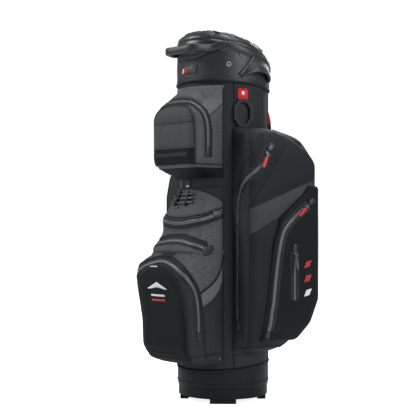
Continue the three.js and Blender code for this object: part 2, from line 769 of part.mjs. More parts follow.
function addLowerPocket() {
  const { floor, panelLow, crest, roof } = lowerPocket;
  const [low, straight, bend, top] = [panelLow + 8, panelLow + 36, crest - 38, roof - floor - 17];
  const side = 0.65; // how far across the zip's two straight sides are
  const half = [[side, straight], [side, bend], [0.55, bend + 34], [0.34, bend + 60], [0.1, top]]
    .map(([a, h]) => [a, floor + h]);
  const corners = [[-side, floor + low], ...half.slice(1).map(([a, z]) => [-a, z]), ...half.reverse()];
  const body = lay(pocketSolid(lowerSkin), lowerSkin, 'ball_zip', route(corners, 18), look.zip);
  add('lower_pocket', body, look.blackFabric);
  const rest = [-side, floor + straight + 26];
  addSlider(lowerSkin, 'ball_zip', rest, [-side, floor + bend - 6], look.blackFabric, false);
}

function addRightPocket() {
  const { floor, roof } = rightPocket;
  const top = [-0.25, roof - 60];
  const corners = [[-0.78, floor + 76], [-0.78, roof - 190], [-0.7, roof - 160], [-0.5, roof - 118],
    [-cornerStart, roof - 98], top];
  const body = lay(pocketSolid(rightSkin), rightSkin, 'side_zip', route(corners, 13), look.zip);
  add('side_pocket_right', body, look.blackFabric);
  const last = [-cornerStart + 0.02, roof - 98 + 38 * (0.02 / 0.11)];
  addSlider(rightSkin, 'side_zip', [-0.26, roof - 63.5], last, look.red, true);
}

function addOuterPocket() {
  const base = rightPocket.floor;
  const stops = [[0.32, 349], [-0.01, 302], [-0.1, 262], [-0.2, 128], [-0.2, 60]];
  const corners = stops.map(([across, height]) => [across, base + height]);
  let body = lay(outerPocketSolid(), outerSkin, 'outer_zip', route(corners, 24), look.zip);
  const small = [[0.115, base + 240], [0.115, base + 128]];
  body = lay(body, outerSkin, 'small_zip', route(small, 30), look.zip);
  add('side_pocket_right_outer', body, look.blackFabric);
  addSlider(outerSkin, 'outer_zip', [0.31, base + 347.5], [0.03, base + 307.7], look.red, true);
  addSlider(outerSkin, 'small_zip', [0.115, base + 238], [0.115, base + 132], look.blackFabric, true);
}

function addLeftPocket() {
  const [low, high] = [leftPocket.floor + 96, leftPocket.roof - 96];
  const stops = route([[-0.8, low], [-0.8, high]], 40);
  const body = lay(pocketSolid(leftSkin), leftSkin, 'left_zip', stops, look.zip);
  add('side_pocket_left', body, look.blackFabric);
  addSlider(leftSkin, 'left_zip', [-0.8, high - 3], [-0.8, low + 4], look.blackFabric, true);
}

// ---------------------------------------------------------------- towel ring

/** A flat loop with cut corners; `straight` is the share of each side that stays straight. */
function flatLoop(width, height, bar, thickness, straight) {
  const k = straight;
  const outline = (w, h) => (
    [[k, 1], [1, k], [1, -k], [k, -1], [-k, -1], [-1, -k], [-1, k], [-k, 1]]
      .map(([u, v]) => new THREE.Vector2((u * w) / 2, (v * h) / 2)));
  const shape = new THREE.Shape(outline(width, height));
  shape.holes.push(new THREE.Path(outline(width - 2 * bar, height - 2 * bar).reverse()));
  return new THREE.ExtrudeGeometry(shape, { depth: thickness, bevelEnabled: false });
}

function addTowelRing() {
  const place = (geometry, z) => {
    geometry.rotateX(Math.PI / 2);
    geometry.translate(0, -(bodyRadius + gap), z);
    return geometry.rotateZ(radians(towelAngle));
  };
  const tab = new THREE.BoxGeometry(towelTabWidth, towelTabHeight, towelTabThickness);
  tab.translate(0, 0, towelTabThickness / 2);
  add('towel_tab', solid(place(tab, towelTabTop - towelTabHeight / 2)), look.red);

  const loop = flatLoop(towelRingWidth, towelRingHeight, towelRingBar, towelRingThickness, 0.45);
  add('towel_ring', solid(place(loop, towelRingTop - towelRingHeight / 2)), look.moulded);
}

// ---------------------------------------------------------------- side handle and eyelet on the collar

function addSideHandle() {
  const count = 12;
  const radius = collarOuter + gap;
  const rings = Array.from({ length: count + 1 }, (_, i) => {
    const share = (2 * i) / count - 1;
    const angle = sideHandleAngle + share * sideHandleSpan;
    const arch = 1 - share * share;
    const bow = radius + sideHandleThickness / 2 + sideHandleBow * Math.sqrt(arch);
    const z = bodyHeight + sideHandleRise + sideHandleArch * arch;
    return [[-1, -1], [1, -1], [1, 1], [-1, 1]].map(([u, v]) => around(
      angle, bow + (u * sideHandleThickness) / 2, z + (v * sideHandleWidth) / 2));
  });
  add('side_handle', loft(rings).subtract(disc(radius, 0, rimHeight * 2)), look.leather);
}

function addEyelet() {
  const [inner, outer, depth] = [eyeletRadius - eyeletWall, eyeletRadius, eyeletDepth];
  const geometry = surface(turned([[inner, 0], [outer, 0], [outer - 1, depth], [inner, depth]], 16));
  geometry.rotateX(Math.PI / 2).translate(0, -(collarOuter + gap), bodyHeight + eyeletHeight);
  add('collar_eyelet', geometry.rotateZ(radians(eyeletAngle)), look.steel);
}

// ---------------------------------------------------------------- shoulder strap

/** Adds the strap, and at each end its hook and the loop on the bag that holds it. */
function addStrap() {
  const axis = bodyRadius + strapStandOff;
  const stops = 14;
  const top = bodyHeight - strapDrop;
  const rings = Array.from({ length: stops + 1 }, (_, i) => {
    const share = i / stops;
    const padded = share > 0.22 && share < 0.85;
    const width = padded ? strapPadWidth : webbingWidth;
    const thick = padded ? strapPadThickness : webbingThickness;
    const y = axis + strapBow * Math.sin(Math.PI * Math.sqrt(share));
    return [[-1, -1], [1, -1], [1, 1], [-1, 1]].map(([u, v]) => (
      new THREE.Vector3((u * width) / 2, y + (v * thick) / 2, top - share * strapLength)));
  });
  add('shoulder_strap', loft(rings), look.blackFabric);
  const ends = [['top', top, 1, collarOuter], ['bottom', top - strapLength, -1, bodyRadius]];
  for (const [name, z, side, wall] of ends) {
    const hookZ = z + side * (gap + hookHeight / 2);
    const hook = flatLoop(webbingWidth - 4, hookHeight, ringBar, hookThickness, 0.75);
    hook.translate(0, 0, -hookThickness / 2).rotateX(Math.PI / 2).translate(0, axis, hookZ);
    add(`strap_hook_${name}`, solid(hook), look.steel);
    const depth = axis + hookThickness / 2 - wall - gap;
    const anchorZ = z + side * (2 * gap + hookHeight + anchorHeight / 2);
    const anchor = box(webbingWidth, depth, anchorHeight, 0, wall + gap + depth / 2, anchorZ);
    add(`strap_anchor_${name}`, solid(anchor), look.moulded);
  }
}

// ---------------------------------------------------------------- build

addBase();
addBodyTube();
addCollar();
addRimBand();
addLiftHandle();
addTop();
addDividers();
addUpperPocket();
addMiddlePocket();
addLowerPocket();
addRightPocket();
addOuterPocket();
addLeftPocket();
addTowelRing();
addSideHandle();
addEyelet();
addStrap();

export default bag;
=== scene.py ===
# A golf bag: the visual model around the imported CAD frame.
import math
import bpy
import bmesh
import numpy as np
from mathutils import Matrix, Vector


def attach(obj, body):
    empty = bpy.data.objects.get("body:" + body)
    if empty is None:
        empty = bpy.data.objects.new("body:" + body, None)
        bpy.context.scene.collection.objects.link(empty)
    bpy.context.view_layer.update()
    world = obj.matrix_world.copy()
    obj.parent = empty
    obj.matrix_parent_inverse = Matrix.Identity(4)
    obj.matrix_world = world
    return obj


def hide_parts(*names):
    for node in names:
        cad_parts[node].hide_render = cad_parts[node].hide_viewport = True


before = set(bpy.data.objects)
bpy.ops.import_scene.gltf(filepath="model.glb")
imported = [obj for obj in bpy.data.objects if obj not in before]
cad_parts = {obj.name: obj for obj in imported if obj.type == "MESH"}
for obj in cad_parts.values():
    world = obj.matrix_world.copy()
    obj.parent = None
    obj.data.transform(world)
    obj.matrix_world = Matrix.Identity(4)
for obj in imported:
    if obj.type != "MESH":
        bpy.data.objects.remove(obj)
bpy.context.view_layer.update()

MM = 0.001
scene = bpy.context.scene

# ---------------------------------------------------------------- surfaces that pieces are laid on
# Everything in this section is in millimetres. Each surface has a coordinate across it and a height.

BODY = 109.0
GAP = 0.4
TUBE_LIP = 1.5
CORNER_START, CORNER_END = 0.36, 0.6
# The angles from the front, in degrees, at which the front and side pockets meet the tube.
FRONT_ROOT, SIDE_ROOT = 46.0, 57


def around(angle, radius, z):
    """Points at an angle in degrees from the front, at a distance from the bag's axis."""
    t = np.radians(angle)
    return np.stack(np.broadcast_arrays(radius * np.sin(t), -radius * np.cos(t), z), axis=-1)


def unit(v):
    return v / np.maximum(np.linalg.norm(v, axis=-1, keepdims=True), 1e-9)


def ease(t):
    t = np.clip(t, 0.0, 1.0)
    return t * t * (3 - 2 * t)


def waves(p, size, seed):
    """Soft folds: a few crossing sines, from -1 to 1, bent by slower ones."""
    rng = np.random.RandomState(seed)
    q = p / size
    total = np.zeros(p.shape[:-1])
    for k in range(7):
        d = rng.normal(size=3)
        d *= (0.8 + 0.5 * k / 3) / np.linalg.norm(d)
        bend = 1.3 * np.sin(q @ (rng.normal(size=3) * 0.35) + rng.uniform(0, 6.28))
        total += np.sin(q @ d * 2.2 + bend + rng.uniform(0, 6.28)) / (1 + 0.35 * k)
    return total / 3.2


def polyline_distance(a, z, lines, width):
    """How far in mm each point of a surface lies from the nearest of some seams."""
    best = np.full(np.shape(a), 1e9)
    for line in lines:
        for (a0, z0), (a1, z1) in zip(line, line[1:]):
            x0, x1 = a0 * width, a1 * width
            dx, dz = x1 - x0, z1 - z0
            t = np.clip(((a * width - x0) * dx + (z - z0) * dz) / max(dx * dx + dz * dz, 1e-9), 0, 1)
            best = np.minimum(best, np.hypot(a * width - x0 - t * dx, z - z0 - t * dz))
    return best


class Surface:
    """A surface with soft relief: panels puff out between the seams, which are drawn in."""
    side = 1.0
    width = 160.0
    puff = 0.0
    crease = 0.0
    seed = 1
    seams = ()
    step_a = 0.004

    def base(self, a, z):
        raise NotImplementedError

    def relief(self, a, z):
        if not (self.puff or self.crease):
            return 0.0
        near = polyline_distance(a, z, self.seams, self.width)
        free = 1 - np.exp(-(near / 13.0) ** 2)
        p = self.base(a, z)
        folds = waves(p, 52.0, self.seed) * 0.65 + waves(p, 21.0, self.seed + 5) * 0.35
        return free * (self.puff + self.crease * folds)

    def _normal_of(self, f, a, z):
        da, dz = self.step_a, 0.5
        pa = f(a + da, z) - f(a - da, z)
        pz = f(a, z + dz) - f(a, z - dz)
        return unit(np.cross(pa, pz) * self.side)

    def plain_normal(self, a, z):
        return self._normal_of(self.base, a, z)

    def at(self, a, z, h=0.0):
        a, z = np.broadcast_arrays(np.asarray(a, float), np.asarray(z, float))
        lift = self.relief(a, z) + h
        return self.base(a, z) + self.plain_normal(a, z) * np.asarray(lift)[..., None]

    def frame(self, a, z):
        """Changes of the point with each coordinate, and the outward direction."""
        da, dz = self.step_a, 0.5
        pa = (self.at(a + da, z) - self.at(a - da, z)) / (2 * da)
        pz = (self.at(a, z + dz) - self.at(a, z - dz)) / (2 * dz)
        return pa, pz, unit(np.cross(pa, pz) * self.side)


class Tube(Surface):
    """The outside of a round wall. `a` is the angle in degrees from the front."""
    width = math.radians(1.0) * BODY
    step_a = 0.2

    def __init__(self, radius, **more):
        self.radius = radius
        self.__dict__.update(more)

    def base(self, a, z):
        a, z = np.broadcast_arrays(np.asarray(a, float), np.asarray(z, float))
        return around(a, self.radius, z)


def towards(start, end, distance):
    gap = end - start
    return start + gap * min(distance / np.linalg.norm(gap), 0.45)


def plan_outline(root_a, corner_a, corner_b, root_b, radius):
    def plan(a):
        size = np.clip(np.abs(a), 0, 1)
        out = np.zeros(np.shape(a) + (2,))
        for sign, root, near, far in ((-1, root_a, corner_a, corner_b), (1, root_b, corner_b, corner_a)):
            face_end, wall_end = towards(near, far, radius), towards(near, root, radius)
            middle = (near + far) / 2
            s = size[..., None]
            wall = wall_end + (root - wall_end) * (s - CORNER_END) / (1 - CORNER_END)
            t = np.clip((s - CORNER_START) / (CORNER_END - CORNER_START), 0, 1)
            corner = face_end * (1 - t) ** 2 + near * 2 * t * (1 - t) + wall_end * t * t
            face = middle + (face_end - middle) * s / CORNER_START
            here = np.where(s >= CORNER_END, wall, np.where(s >= CORNER_START, corner, face))
            out = np.where((a < 0)[..., None] == (sign < 0), here, out)
        return out
    return plan


class Pocket(Surface):
    """A pocket's outside. `a` runs from -1 to 1 across it."""

    def __init__(self, floor, height, profile, roots, corners, radius, body_angle, **more):
        self.floor, self.height, self.roof = floor, height, floor + height
        self.knots = np.array([(floor + h, share) for h, share in profile], float)
        flat = [around(r, BODY, 0.0)[:2] for r in roots]
        near, far = (np.array(corner, float) for corner in corners)
        self.plan = plan_outline(flat[0], near, far, flat[1], radius)
        self.body_angle = body_angle
        self.shoulder, self.rise, self.one_sided = 0.0, 1, False
        self.soften = 5.0
        self.__dict__.update(more)

    def fullness(self, a, z):
        middle = self.floor + self.height / 2
        high = np.clip((z - middle) / (self.height / 2), 0, 1) ** self.rise
        edge = np.clip(a * 2, 0, 1) ** 2 if self.one_sided else np.minimum(np.abs(a) * 2, 1) ** 4
        z = z + np.minimum(self.shoulder * edge * high, (self.roof - z) * (0.45 if self.one_sided else 0.8))
        soft = np.minimum(self.soften, np.minimum(z - self.floor, self.roof - z).clip(0) * 0.9)
        total = 0.0
        for k in (-1, -0.5, 0, 0.5, 1):
            total = total + np.interp(z + soft * k, self.knots[:, 0], self.knots[:, 1])
        return total / 5

    def base(self, a, z):
        a, z = np.broadcast_arrays(np.asarray(a, float), np.asarray(z, float))
        share = self.fullness(a, z)[..., None]
        tube = around(self.body_angle(a), BODY + TUBE_LIP, 0.0)[..., :2]
        flat = tube + (self.plan(a) - tube) * share
        return np.concatenate([flat, z[..., None]], axis=-1)


def front_pocket(floor, height, reach, half_width, corner, shoulder, profile, **more):
    depth = -(BODY + reach)
    corners = ((-half_width, depth), (half_width, depth))
    return Pocket(floor, height, profile, (-FRONT_ROOT, FRONT_ROOT), corners, corner,
                  lambda a: a * FRONT_ROOT, shoulder=shoulder, **more)


def side_pocket(floor, height, side, back_angle, front, back, corner, profile, **more):
    middle, half = (SIDE_ROOT + back_angle) / 2, (back_angle - SIDE_ROOT) / 2
    corners = ((side * (BODY + front[0]), front[1]), (side * (BODY + back[0]), back[1]))
    return Pocket(floor, height, profile, (side * SIDE_ROOT, side * back_angle), corners, corner,
                  lambda a: side * (middle + a * half), side=float(side), **more)


UPPER_ZIP = [(-.72, 577), (-.72, 670), (-.5, 696), (-.3, 709), (.3, 709), (.5, 696), (.72, 670), (.72, 577)]
BALL_ZIP = [(-.65, 147), (-.65, 262), (-.55, 296), (-.34, 322), (-.1, 337), (.1, 337), (.34, 322), (.55, 296),
            (.65, 262), (.65, 175)]
upper = front_pocket(531, 217, 60, 74, 24, 34, [
    (0, 0), (18, .7), (30, .95), (44, 1), (145, 1), (161, .95), (175, .8), (193, .48), (209, .16), (217, 0)],
    puff=1.4, crease=0.9, seed=3)
middle = front_pocket(352.5, 154.5, 63, 83, 34, 34, [
    (0, .94), (9.5, 1), (31.5, .74), (45.5, .62), (82.5, .62), (90.5, .56), (122.5, .3), (154.5, 0)],
    puff=1.4, crease=1.0, seed=8, rise=2)
lower = front_pocket(98, 256, 102, 90, 26, 10, [
    (0, .42), (10, .7), (41, .84), (101, .86), (202, 1), (228, .96), (243, .86), (252, .72), (256, .63)],
    puff=2.0, crease=1.2, seed=11)
RIGHT_FLOOR = 118
RING_HINGE, RING_DROP = 714.88, 64
right_height = RING_HINGE - RING_DROP - 1 - RIGHT_FLOOR
right = side_pocket(RIGHT_FLOOR, right_height, 1, 130, (51, -76), (111, 104), 30, [
    (0, 0), (10, .3), (42, .62), (76, .85), (128, 1), (right_height - 58, 1), (right_height - 34, .88),
    (right_height - 14, .66), (right_height - 4, .25), (right_height, 0)],
    puff=2.2, crease=1.5, seed=21, shoulder=46, one_sided=True)
left = side_pocket(118, 454, -1, 122, (37, -64), (55, 66), 24, [
    (0, 0), (12, .4), (44, .8), (84, 1), (370, 1), (420, .8), (442, .45), (454, 0)],
    puff=1.8, crease=1.3, seed=31)
SIDE_ZIP = [(-0.78, 194), (-0.78, 460), (-0.7, 490), (-0.5, 532), (-0.36, 552), (-0.25, 590)]
# The flat pocket's cut front edge, as (height, a).
OUTER_ROWS = [(150, -.28), (246, -.275), (385, -.185), (436, -.08), (490, .24), (512, .34)]
OUTER_ZIP = [(0.32, 467), (-0.01, 420), (-0.1, 380), (-0.2, 246), (-0.2, 178)]


class Outer(Surface):
    """The flat pocket's outside, proud of the right pocket and rounded off to it at its edges."""
    proud = 9.0
    floor, roof = RIGHT_FLOOR + 32, RIGHT_FLOOR + 32 + 362
    front, back = -0.28, 0.8
    step_a = 0.002

    def __init__(self, host, **more):
        self.host = host
        self.__dict__.update(more)

    def base(self, a, z):
        a, z = np.broadcast_arrays(np.asarray(a, float), np.asarray(z, float))
        cut = (a - np.interp(z, *np.transpose(OUTER_ROWS))) * 120
        rim = np.minimum(np.minimum(cut, (self.back - a) * 150), np.minimum(z - self.floor, self.roof - z))
        rise = self.proud * np.sqrt(np.clip(1 - (1 - np.clip(rim / 9.0, 0, 1)) ** 2, 0, 1))
        rise = np.where(cut < 0, np.maximum(cut * 0.5, -4.0), rise)
        return self.host.base(a, z) + self.host.plain_normal(a, z) * rise[..., None]


outer = Outer(right, puff=0.9, crease=0.9, seed=41)

# ---------------------------------------------------------------- making meshes

def ride(obj, body="root"):
    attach(obj, body)
    return obj


def make(name, points, faces, material, uv=None, body="root", material_of=None):
    """One mesh piece, from points in millimetres. material may be a list, chosen by material_of."""
    mesh = bpy.data.meshes.new(name)
    mesh.from_pydata((np.asarray(points, float).reshape(-1, 3) * MM).tolist(), [], faces)
    for m in material if isinstance(material, (list, tuple)) else [material]:
        mesh.materials.append(m)
    mesh.polygons.foreach_set("use_smooth", [True] * len(mesh.polygons))
    if material_of is not None:
        mesh.polygons.foreach_set("material_index", material_of)
    layer = mesh.uv_layers.new(name="UVMap")
    loops = np.zeros(len(mesh.loops), dtype=np.int32)
    mesh.loops.foreach_get("vertex_index", loops)
    if uv is None:
        p = np.asarray(points, float).reshape(-1, 3)
        uv = np.stack([p[:, 0] + p[:, 1], p[:, 2]], axis=-1)
    layer.data.foreach_set("uv", np.asarray(uv, float).reshape(-1, 2)[loops].ravel() * MM)
    mesh.update()
    obj = bpy.data.objects.new(name, mesh)
    scene.collection.objects.link(obj)
    return ride(obj, body)


def outwards(obj):
    """Turns a closed mesh's faces outwards."""
    b = bmesh.new()
    b.from_mesh(obj.data)
    bmesh.ops.recalc_face_normals(b, faces=b.faces)
    b.to_mesh(obj.data)
    b.free()
    return obj


def grid_faces(rows, cols, around_cols=False, around_rows=False):
    """Quads of a grid of points, joined round on itself across its columns or its rows if asked."""
    i = np.arange(rows if around_rows else rows - 1)[:, None]
    j = np.arange(cols if around_cols else cols - 1)[None]
    i2, j2 = (i + 1) % rows, (j + 1) % cols
    quads = np.stack(np.broadcast_arrays(i * cols + j, i * cols + j2, i2 * cols + j2, i2 * cols + j), -1)
    return quads.reshape(-1, 4).tolist()


def closed_faces(rows, cols):
    """Faces of rings of points one after another, with a face over each end."""
    last = (rows - 1) * cols
    ends = [list(range(cols))[::-1], [last + k for k in range(cols)]]
    return grid_faces(rows, cols, around_cols=True) + ends


def joined(parts):
    """Several (points, faces) as one."""
    points, faces, count = [], [], 0
    for p, f in parts:
        p = np.asarray(p, float).reshape(-1, 3)
        points.append(p)
        faces.extend([[v + count for v in face] for face in f])
        count += len(p)
    return np.concatenate(points), faces


def resampled(stops, step, width, soften=0):
    """A line of (a, z) stops at even steps in mm, with its corners rounded."""
    line = [np.array(s, float) for s in stops]
    for _ in range(soften):
        cut = [line[0]]
        for p, q in zip(line, line[1:]):
            cut += [p * 0.75 + q * 0.25, p * 0.25 + q * 0.75]
        line = cut + [line[-1]]
    line = np.array(line)
    scaled = line * [width, 1]
    lengths = np.concatenate([[0], np.cumsum(np.linalg.norm(np.diff(scaled, axis=0), axis=1))])
    count = max(2, int(round(lengths[-1] / step)) + 1)
    at = np.linspace(0, lengths[-1], count)
    return np.stack([np.interp(at, lengths, line[:, k]) for k in (0, 1)], axis=-1)


def sideways(surface, line):
    """For each stop of a line on a surface, the change of (a, z) for one mm to its side."""
    pa, pz, n = surface.frame(line[:, 0], line[:, 1])
    points = surface.at(line[:, 0], line[:, 1])
    along = np.gradient(points, axis=0)
    side = unit(np.cross(n, along))
    aa, az, zz = (pa * pa).sum(1), (pa * pz).sum(1), (pz * pz).sum(1)
    ba, bz = (pa * side).sum(1), (pz * side).sum(1)
    det = np.maximum(aa * zz - az * az, 1e-9)
    return np.stack([(zz * ba - az * bz) / det, (aa * bz - az * ba) / det], axis=-1)


def swept(surface, stops, section, step=3.0, soften=2, taper=0.0):
    """Points and faces of a strip laid on a surface. section is a closed list of (side, height) in mm."""
    line = resampled(stops, step, surface.width, soften)
    across = sideways(surface, line)
    size = np.ones(len(line))
    if taper:
        k = np.arange(len(line))
        k = np.minimum(k, k[::-1]) * step
        size = np.sqrt(np.clip(1 - (1 - np.clip(k / taper, 0.02, 1)) ** 2, 0, 1))
    rows = []
    for s, h in section:
        where = line + across * (s * size)[:, None]
        rows.append(surface.at(where[:, 0], where[:, 1], h * (size if h > 0 else 1)))
    return np.stack(rows, axis=1), closed_faces(len(line), len(section))


def round_section(radius, count=8, lift=0.0):
    t = np.arange(count) * 2 * math.pi / count
    return [(radius * math.cos(x), lift + radius * math.sin(x)) for x in t]


def flat_section(width, height, low=-1.0, crown=0.0):
    half = width / 2
    return [(-half, low), (half, low), (half, height * 0.6), (half - 0.5, height), (0, height + crown),
            (0.5 - half, height), (-half, height * 0.6)]


def piping(name, surface, stops, material, radius=1.3, soften=2, body="root", lift=0.3, step=3.0):
    points, faces = swept(surface, stops, round_section(radius, 8, lift), step, soften)
    return outwards(make(name, points, faces, material, body=body))


def band(name, surface, stops, material, width, height=0.6, soften=2, crown=0.0, step=3.0, body="root"):
    points, faces = swept(surface, stops, flat_section(width, height, -1.0, crown), step, soften)
    n = points.shape[0]
    sides = np.array([s for s, _ in flat_section(width, height)])
    line_uv = np.stack(np.broadcast_arrays(np.arange(n)[:, None] * step, sides[None]), -1)
    return outwards(make(name, points, faces, material, uv=line_uv, body=body))


STITCH_PITCH, STITCH_LENGTH, STITCH_WIDTH = 5.5, 3.6, 0.9


def stitch_parts(surface, stops, offset=0.0):
    """Small raised stitches along a line, each a closed bar with sunk ends."""
    line = resampled(stops, 1.0, surface.width, 2)
    across = sideways(surface, line)
    line = line + across * offset
    starts = np.arange(1.0, len(line) - 1 - STITCH_LENGTH, STITCH_PITCH)
    t = starts[:, None] + np.array([0, 0.18, 0.82, 1.0])[None] * STITCH_LENGTH
    idx = np.arange(len(line))
    a, z, sa, sz = (np.interp(t, idx, f) for f in (*line.T, *across.T))
    rise = np.array([-0.4, 0.35, 0.35, -0.4])
    wide = np.array([0.5, 1, 1, 0.5]) * STITCH_WIDTH / 2
    rings = []
    for s, h in ((-1, 0), (1, 0), (0.7, 1), (-0.7, 1)):
        rings.append(surface.at(a + sa * s * wide, z + sz * s * wide, rise + h * 0.45 - 0.25))
    points = np.stack(rings, axis=2)
    base = grid_faces(4, 4, around_cols=True) + [[3, 2, 1, 0], [12, 13, 14, 15]]
    return [(stitch, base) for stitch in points]


def stitches(name, rows, material, body="root"):
    """One piece of thread from several rows: (surface, stops, offset)."""
    parts = []
    for surface, stops, offset in rows:
        parts += stitch_parts(surface, stops, offset)
    points, faces = joined(parts)
    return outwards(make(name, points, faces, material, body=body))


def patch(name, surface, centre, outline, material, height=1.0, low=-1.5, rings=5, dome=0.0, turn=0.0,
          edge=0.35):
    """A thin plate that follows a surface. outline is a list of (side, up) in mm about its centre (a, z)."""
    a0, z0 = centre
    pa, pz, n = (v[0] for v in surface.frame(np.array([a0]), np.array([z0])))
    out = np.array(outline, float)
    c, s = math.cos(math.radians(turn)), math.sin(math.radians(turn))
    out = out @ np.array([[c, s], [-s, c]])
    right_way = pa / np.linalg.norm(pa)
    up = np.cross(n, right_way) * surface.side
    vectors = out[:, :1] * right_way * surface.side + out[:, 1:] * up
    aa, az, zz = pa @ pa, pa @ pz, pz @ pz
    det = aa * zz - az * az
    ba, bz = vectors @ pa, vectors @ pz
    da, dz = (zz * ba - az * bz) / det, (aa * bz - az * ba) / det
    count = len(outline)
    points = [surface.at(a0 + da, z0 + dz, low)]
    levels = [(1.0, height * edge), (1 - 0.6 / max(np.abs(out).max(), 1), height)]
    levels += [(1 - k / rings, height + dome * (1 - (1 - k / rings) ** 2)) for k in range(1, rings)]
    for share, h in levels:
        points.append(surface.at(a0 + da * share, z0 + dz * share, h))
    points = np.stack(points)
    rows = len(points)
    faces = grid_faces(rows, count, around_cols=True)
    top = (rows - 1) * count
    flat = points.reshape(-1, 3)
    flat = np.concatenate([flat, surface.at(a0, z0, height + dome)[None], surface.at(a0, z0, low)[None]])
    faces += [[top + k, top + (k + 1) % count, rows * count] for k in range(count)]
    faces += [[(k + 1) % count, k, rows * count + 1] for k in range(count)]
    return outwards(make(name, flat, faces, material))


def rounded(points, radius, steps=4):
    """A polygon with its corners rounded."""
    pts = [np.array(p, float) for p in points]
    out = []
    for i, p in enumerate(pts):
        a, b = towards(p, pts[i - 1], radius), towards(p, pts[(i + 1) % len(pts)], radius)
        for k in range(steps + 1):
            t = k / steps
            out.append(tuple(a * (1 - t) ** 2 + p * 2 * t * (1 - t) + b * t * t))
    return out


def plate(half_width, half_height, corner):
    x, y = half_width, half_height
    return rounded([(-x, -y), (x, -y), (x, y), (-x, y)], corner)


def oval(half_width, half_height):
    turns = (k * math.pi / 10 for k in range(20))
    return [(half_width * math.cos(t), half_height * math.sin(t)) for t in turns]


def lathe_piece(name, section, material, columns=180):
    """A closed ring. section(angles) gives a list of (radius, height), in order round the section."""
    angle = np.linspace(-180, 180, columns, endpoint=False)
    loops = section(angle)
    points = np.stack([around(angle, r, z) for r, z in loops], axis=0)
    faces = grid_faces(len(loops), columns, around_cols=True, around_rows=True)
    u = np.broadcast_to(angle[None] * math.radians(1) * BODY, points.shape[:2])
    run = np.cumsum(np.concatenate([[0], np.linalg.norm(np.diff(points, axis=0), axis=-1).mean(1)]))
    v = np.broadcast_to(run[:, None], points.shape[:2])
    return outwards(make(name, points, faces, material, uv=np.stack([u, v], -1)))


def pocket_piece(name, pocket, materials, zone, cols=190, row_step=1.7, top_cap=(), low_cap=()):
    """A pocket's closed body, with its back against the tube."""
    rows = int(pocket.height / row_step)
    z = np.linspace(pocket.floor, pocket.roof, rows)
    share = np.ones(rows)
    ks = [0.35, 0.7, 0.9]
    if low_cap:
        z, share = np.concatenate([[pocket.floor] * 3, z]), np.concatenate([ks, share])
    if top_cap:
        z, share = np.concatenate([z, [pocket.roof] * 3]), np.concatenate([share, ks[::-1]])
    a = np.linspace(-1, 1, cols)
    aa, zz = np.broadcast_arrays(a[None], z[:, None])
    skin = pocket.at(aa, zz)
    tube = around(pocket.body_angle(aa), BODY + TUBE_LIP, zz)
    k = share[:, None, None]
    skin = tube * (1 - k) + skin * k
    back = around(pocket.body_angle(np.linspace(0.98, -0.98, 9))[None], BODY - 1.2, z[:, None])
    points = np.concatenate([skin, back], axis=1)
    n = points.shape[1]
    faces = closed_faces(len(z), n)
    u = np.concatenate([a * pocket.width, np.linspace(1, -1, 9) * pocket.width])
    uv = np.stack(np.broadcast_arrays(u[None], z[:, None]), -1)
    ac = (aa[:-1, :-1] + aa[1:, 1:]) / 2
    zc = (zz[:-1, :-1] + zz[1:, 1:]) / 2
    index = np.zeros((len(z) - 1, n), dtype=np.int32)
    index[:, : cols - 1] = zone(ac, zc)
    index = np.concatenate([index.ravel(), [0, 0]]).astype(np.int32)
    return outwards(make(name, points, faces, materials, uv=uv, material_of=index))


def refine(node, material, width=0.6, segments=2):
    """A better finish for a CAD node whose shape is right: its own material, and soft edges."""
    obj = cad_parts[node]
    if not obj.data.materials:
        obj.data.materials.append(material)
    for s in obj.material_slots:
        s.material = material
    if width:
        bevel = obj.modifiers.new("soft_edges", "BEVEL")
        bevel.width = width * MM
        bevel.segments = segments
        bevel.limit_method = "ANGLE"
        bevel.angle_limit = math.radians(35)
        bevel.harden_normals = False
    return obj


def remeshed(name, node, material, voxel=1.8, smooth=6):
    """A piece from a CAD node's own shape, with every edge rounded."""
    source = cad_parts[node]
    mesh = source.data.copy()
    obj = bpy.data.objects.new(name, mesh)
    scene.collection.objects.link(obj)
    obj.hide_render = obj.hide_viewport = False
    mod = obj.modifiers.new("voxels", "REMESH")
    mod.mode = "VOXEL"
    mod.voxel_size = voxel * MM
    mod.use_smooth_shade = True
    soft = obj.modifiers.new("round", "SMOOTH")
    soft.factor = 0.5
    soft.iterations = smooth
    apply_modifiers(obj)
    obj.data.materials.clear()
    obj.data.materials.append(material)
    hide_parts(node)
    return ride(obj)


def apply_modifiers(obj):
    deps = bpy.context.evaluated_depsgraph_get()
    mesh = bpy.data.meshes.new_from_object(obj.evaluated_get(deps))
    obj.modifiers.clear()
    obj.data = mesh
    mesh.polygons.foreach_set("use_smooth", [True] * len(mesh.polygons))
    return obj
# ---------------------------------------------------------------- materials

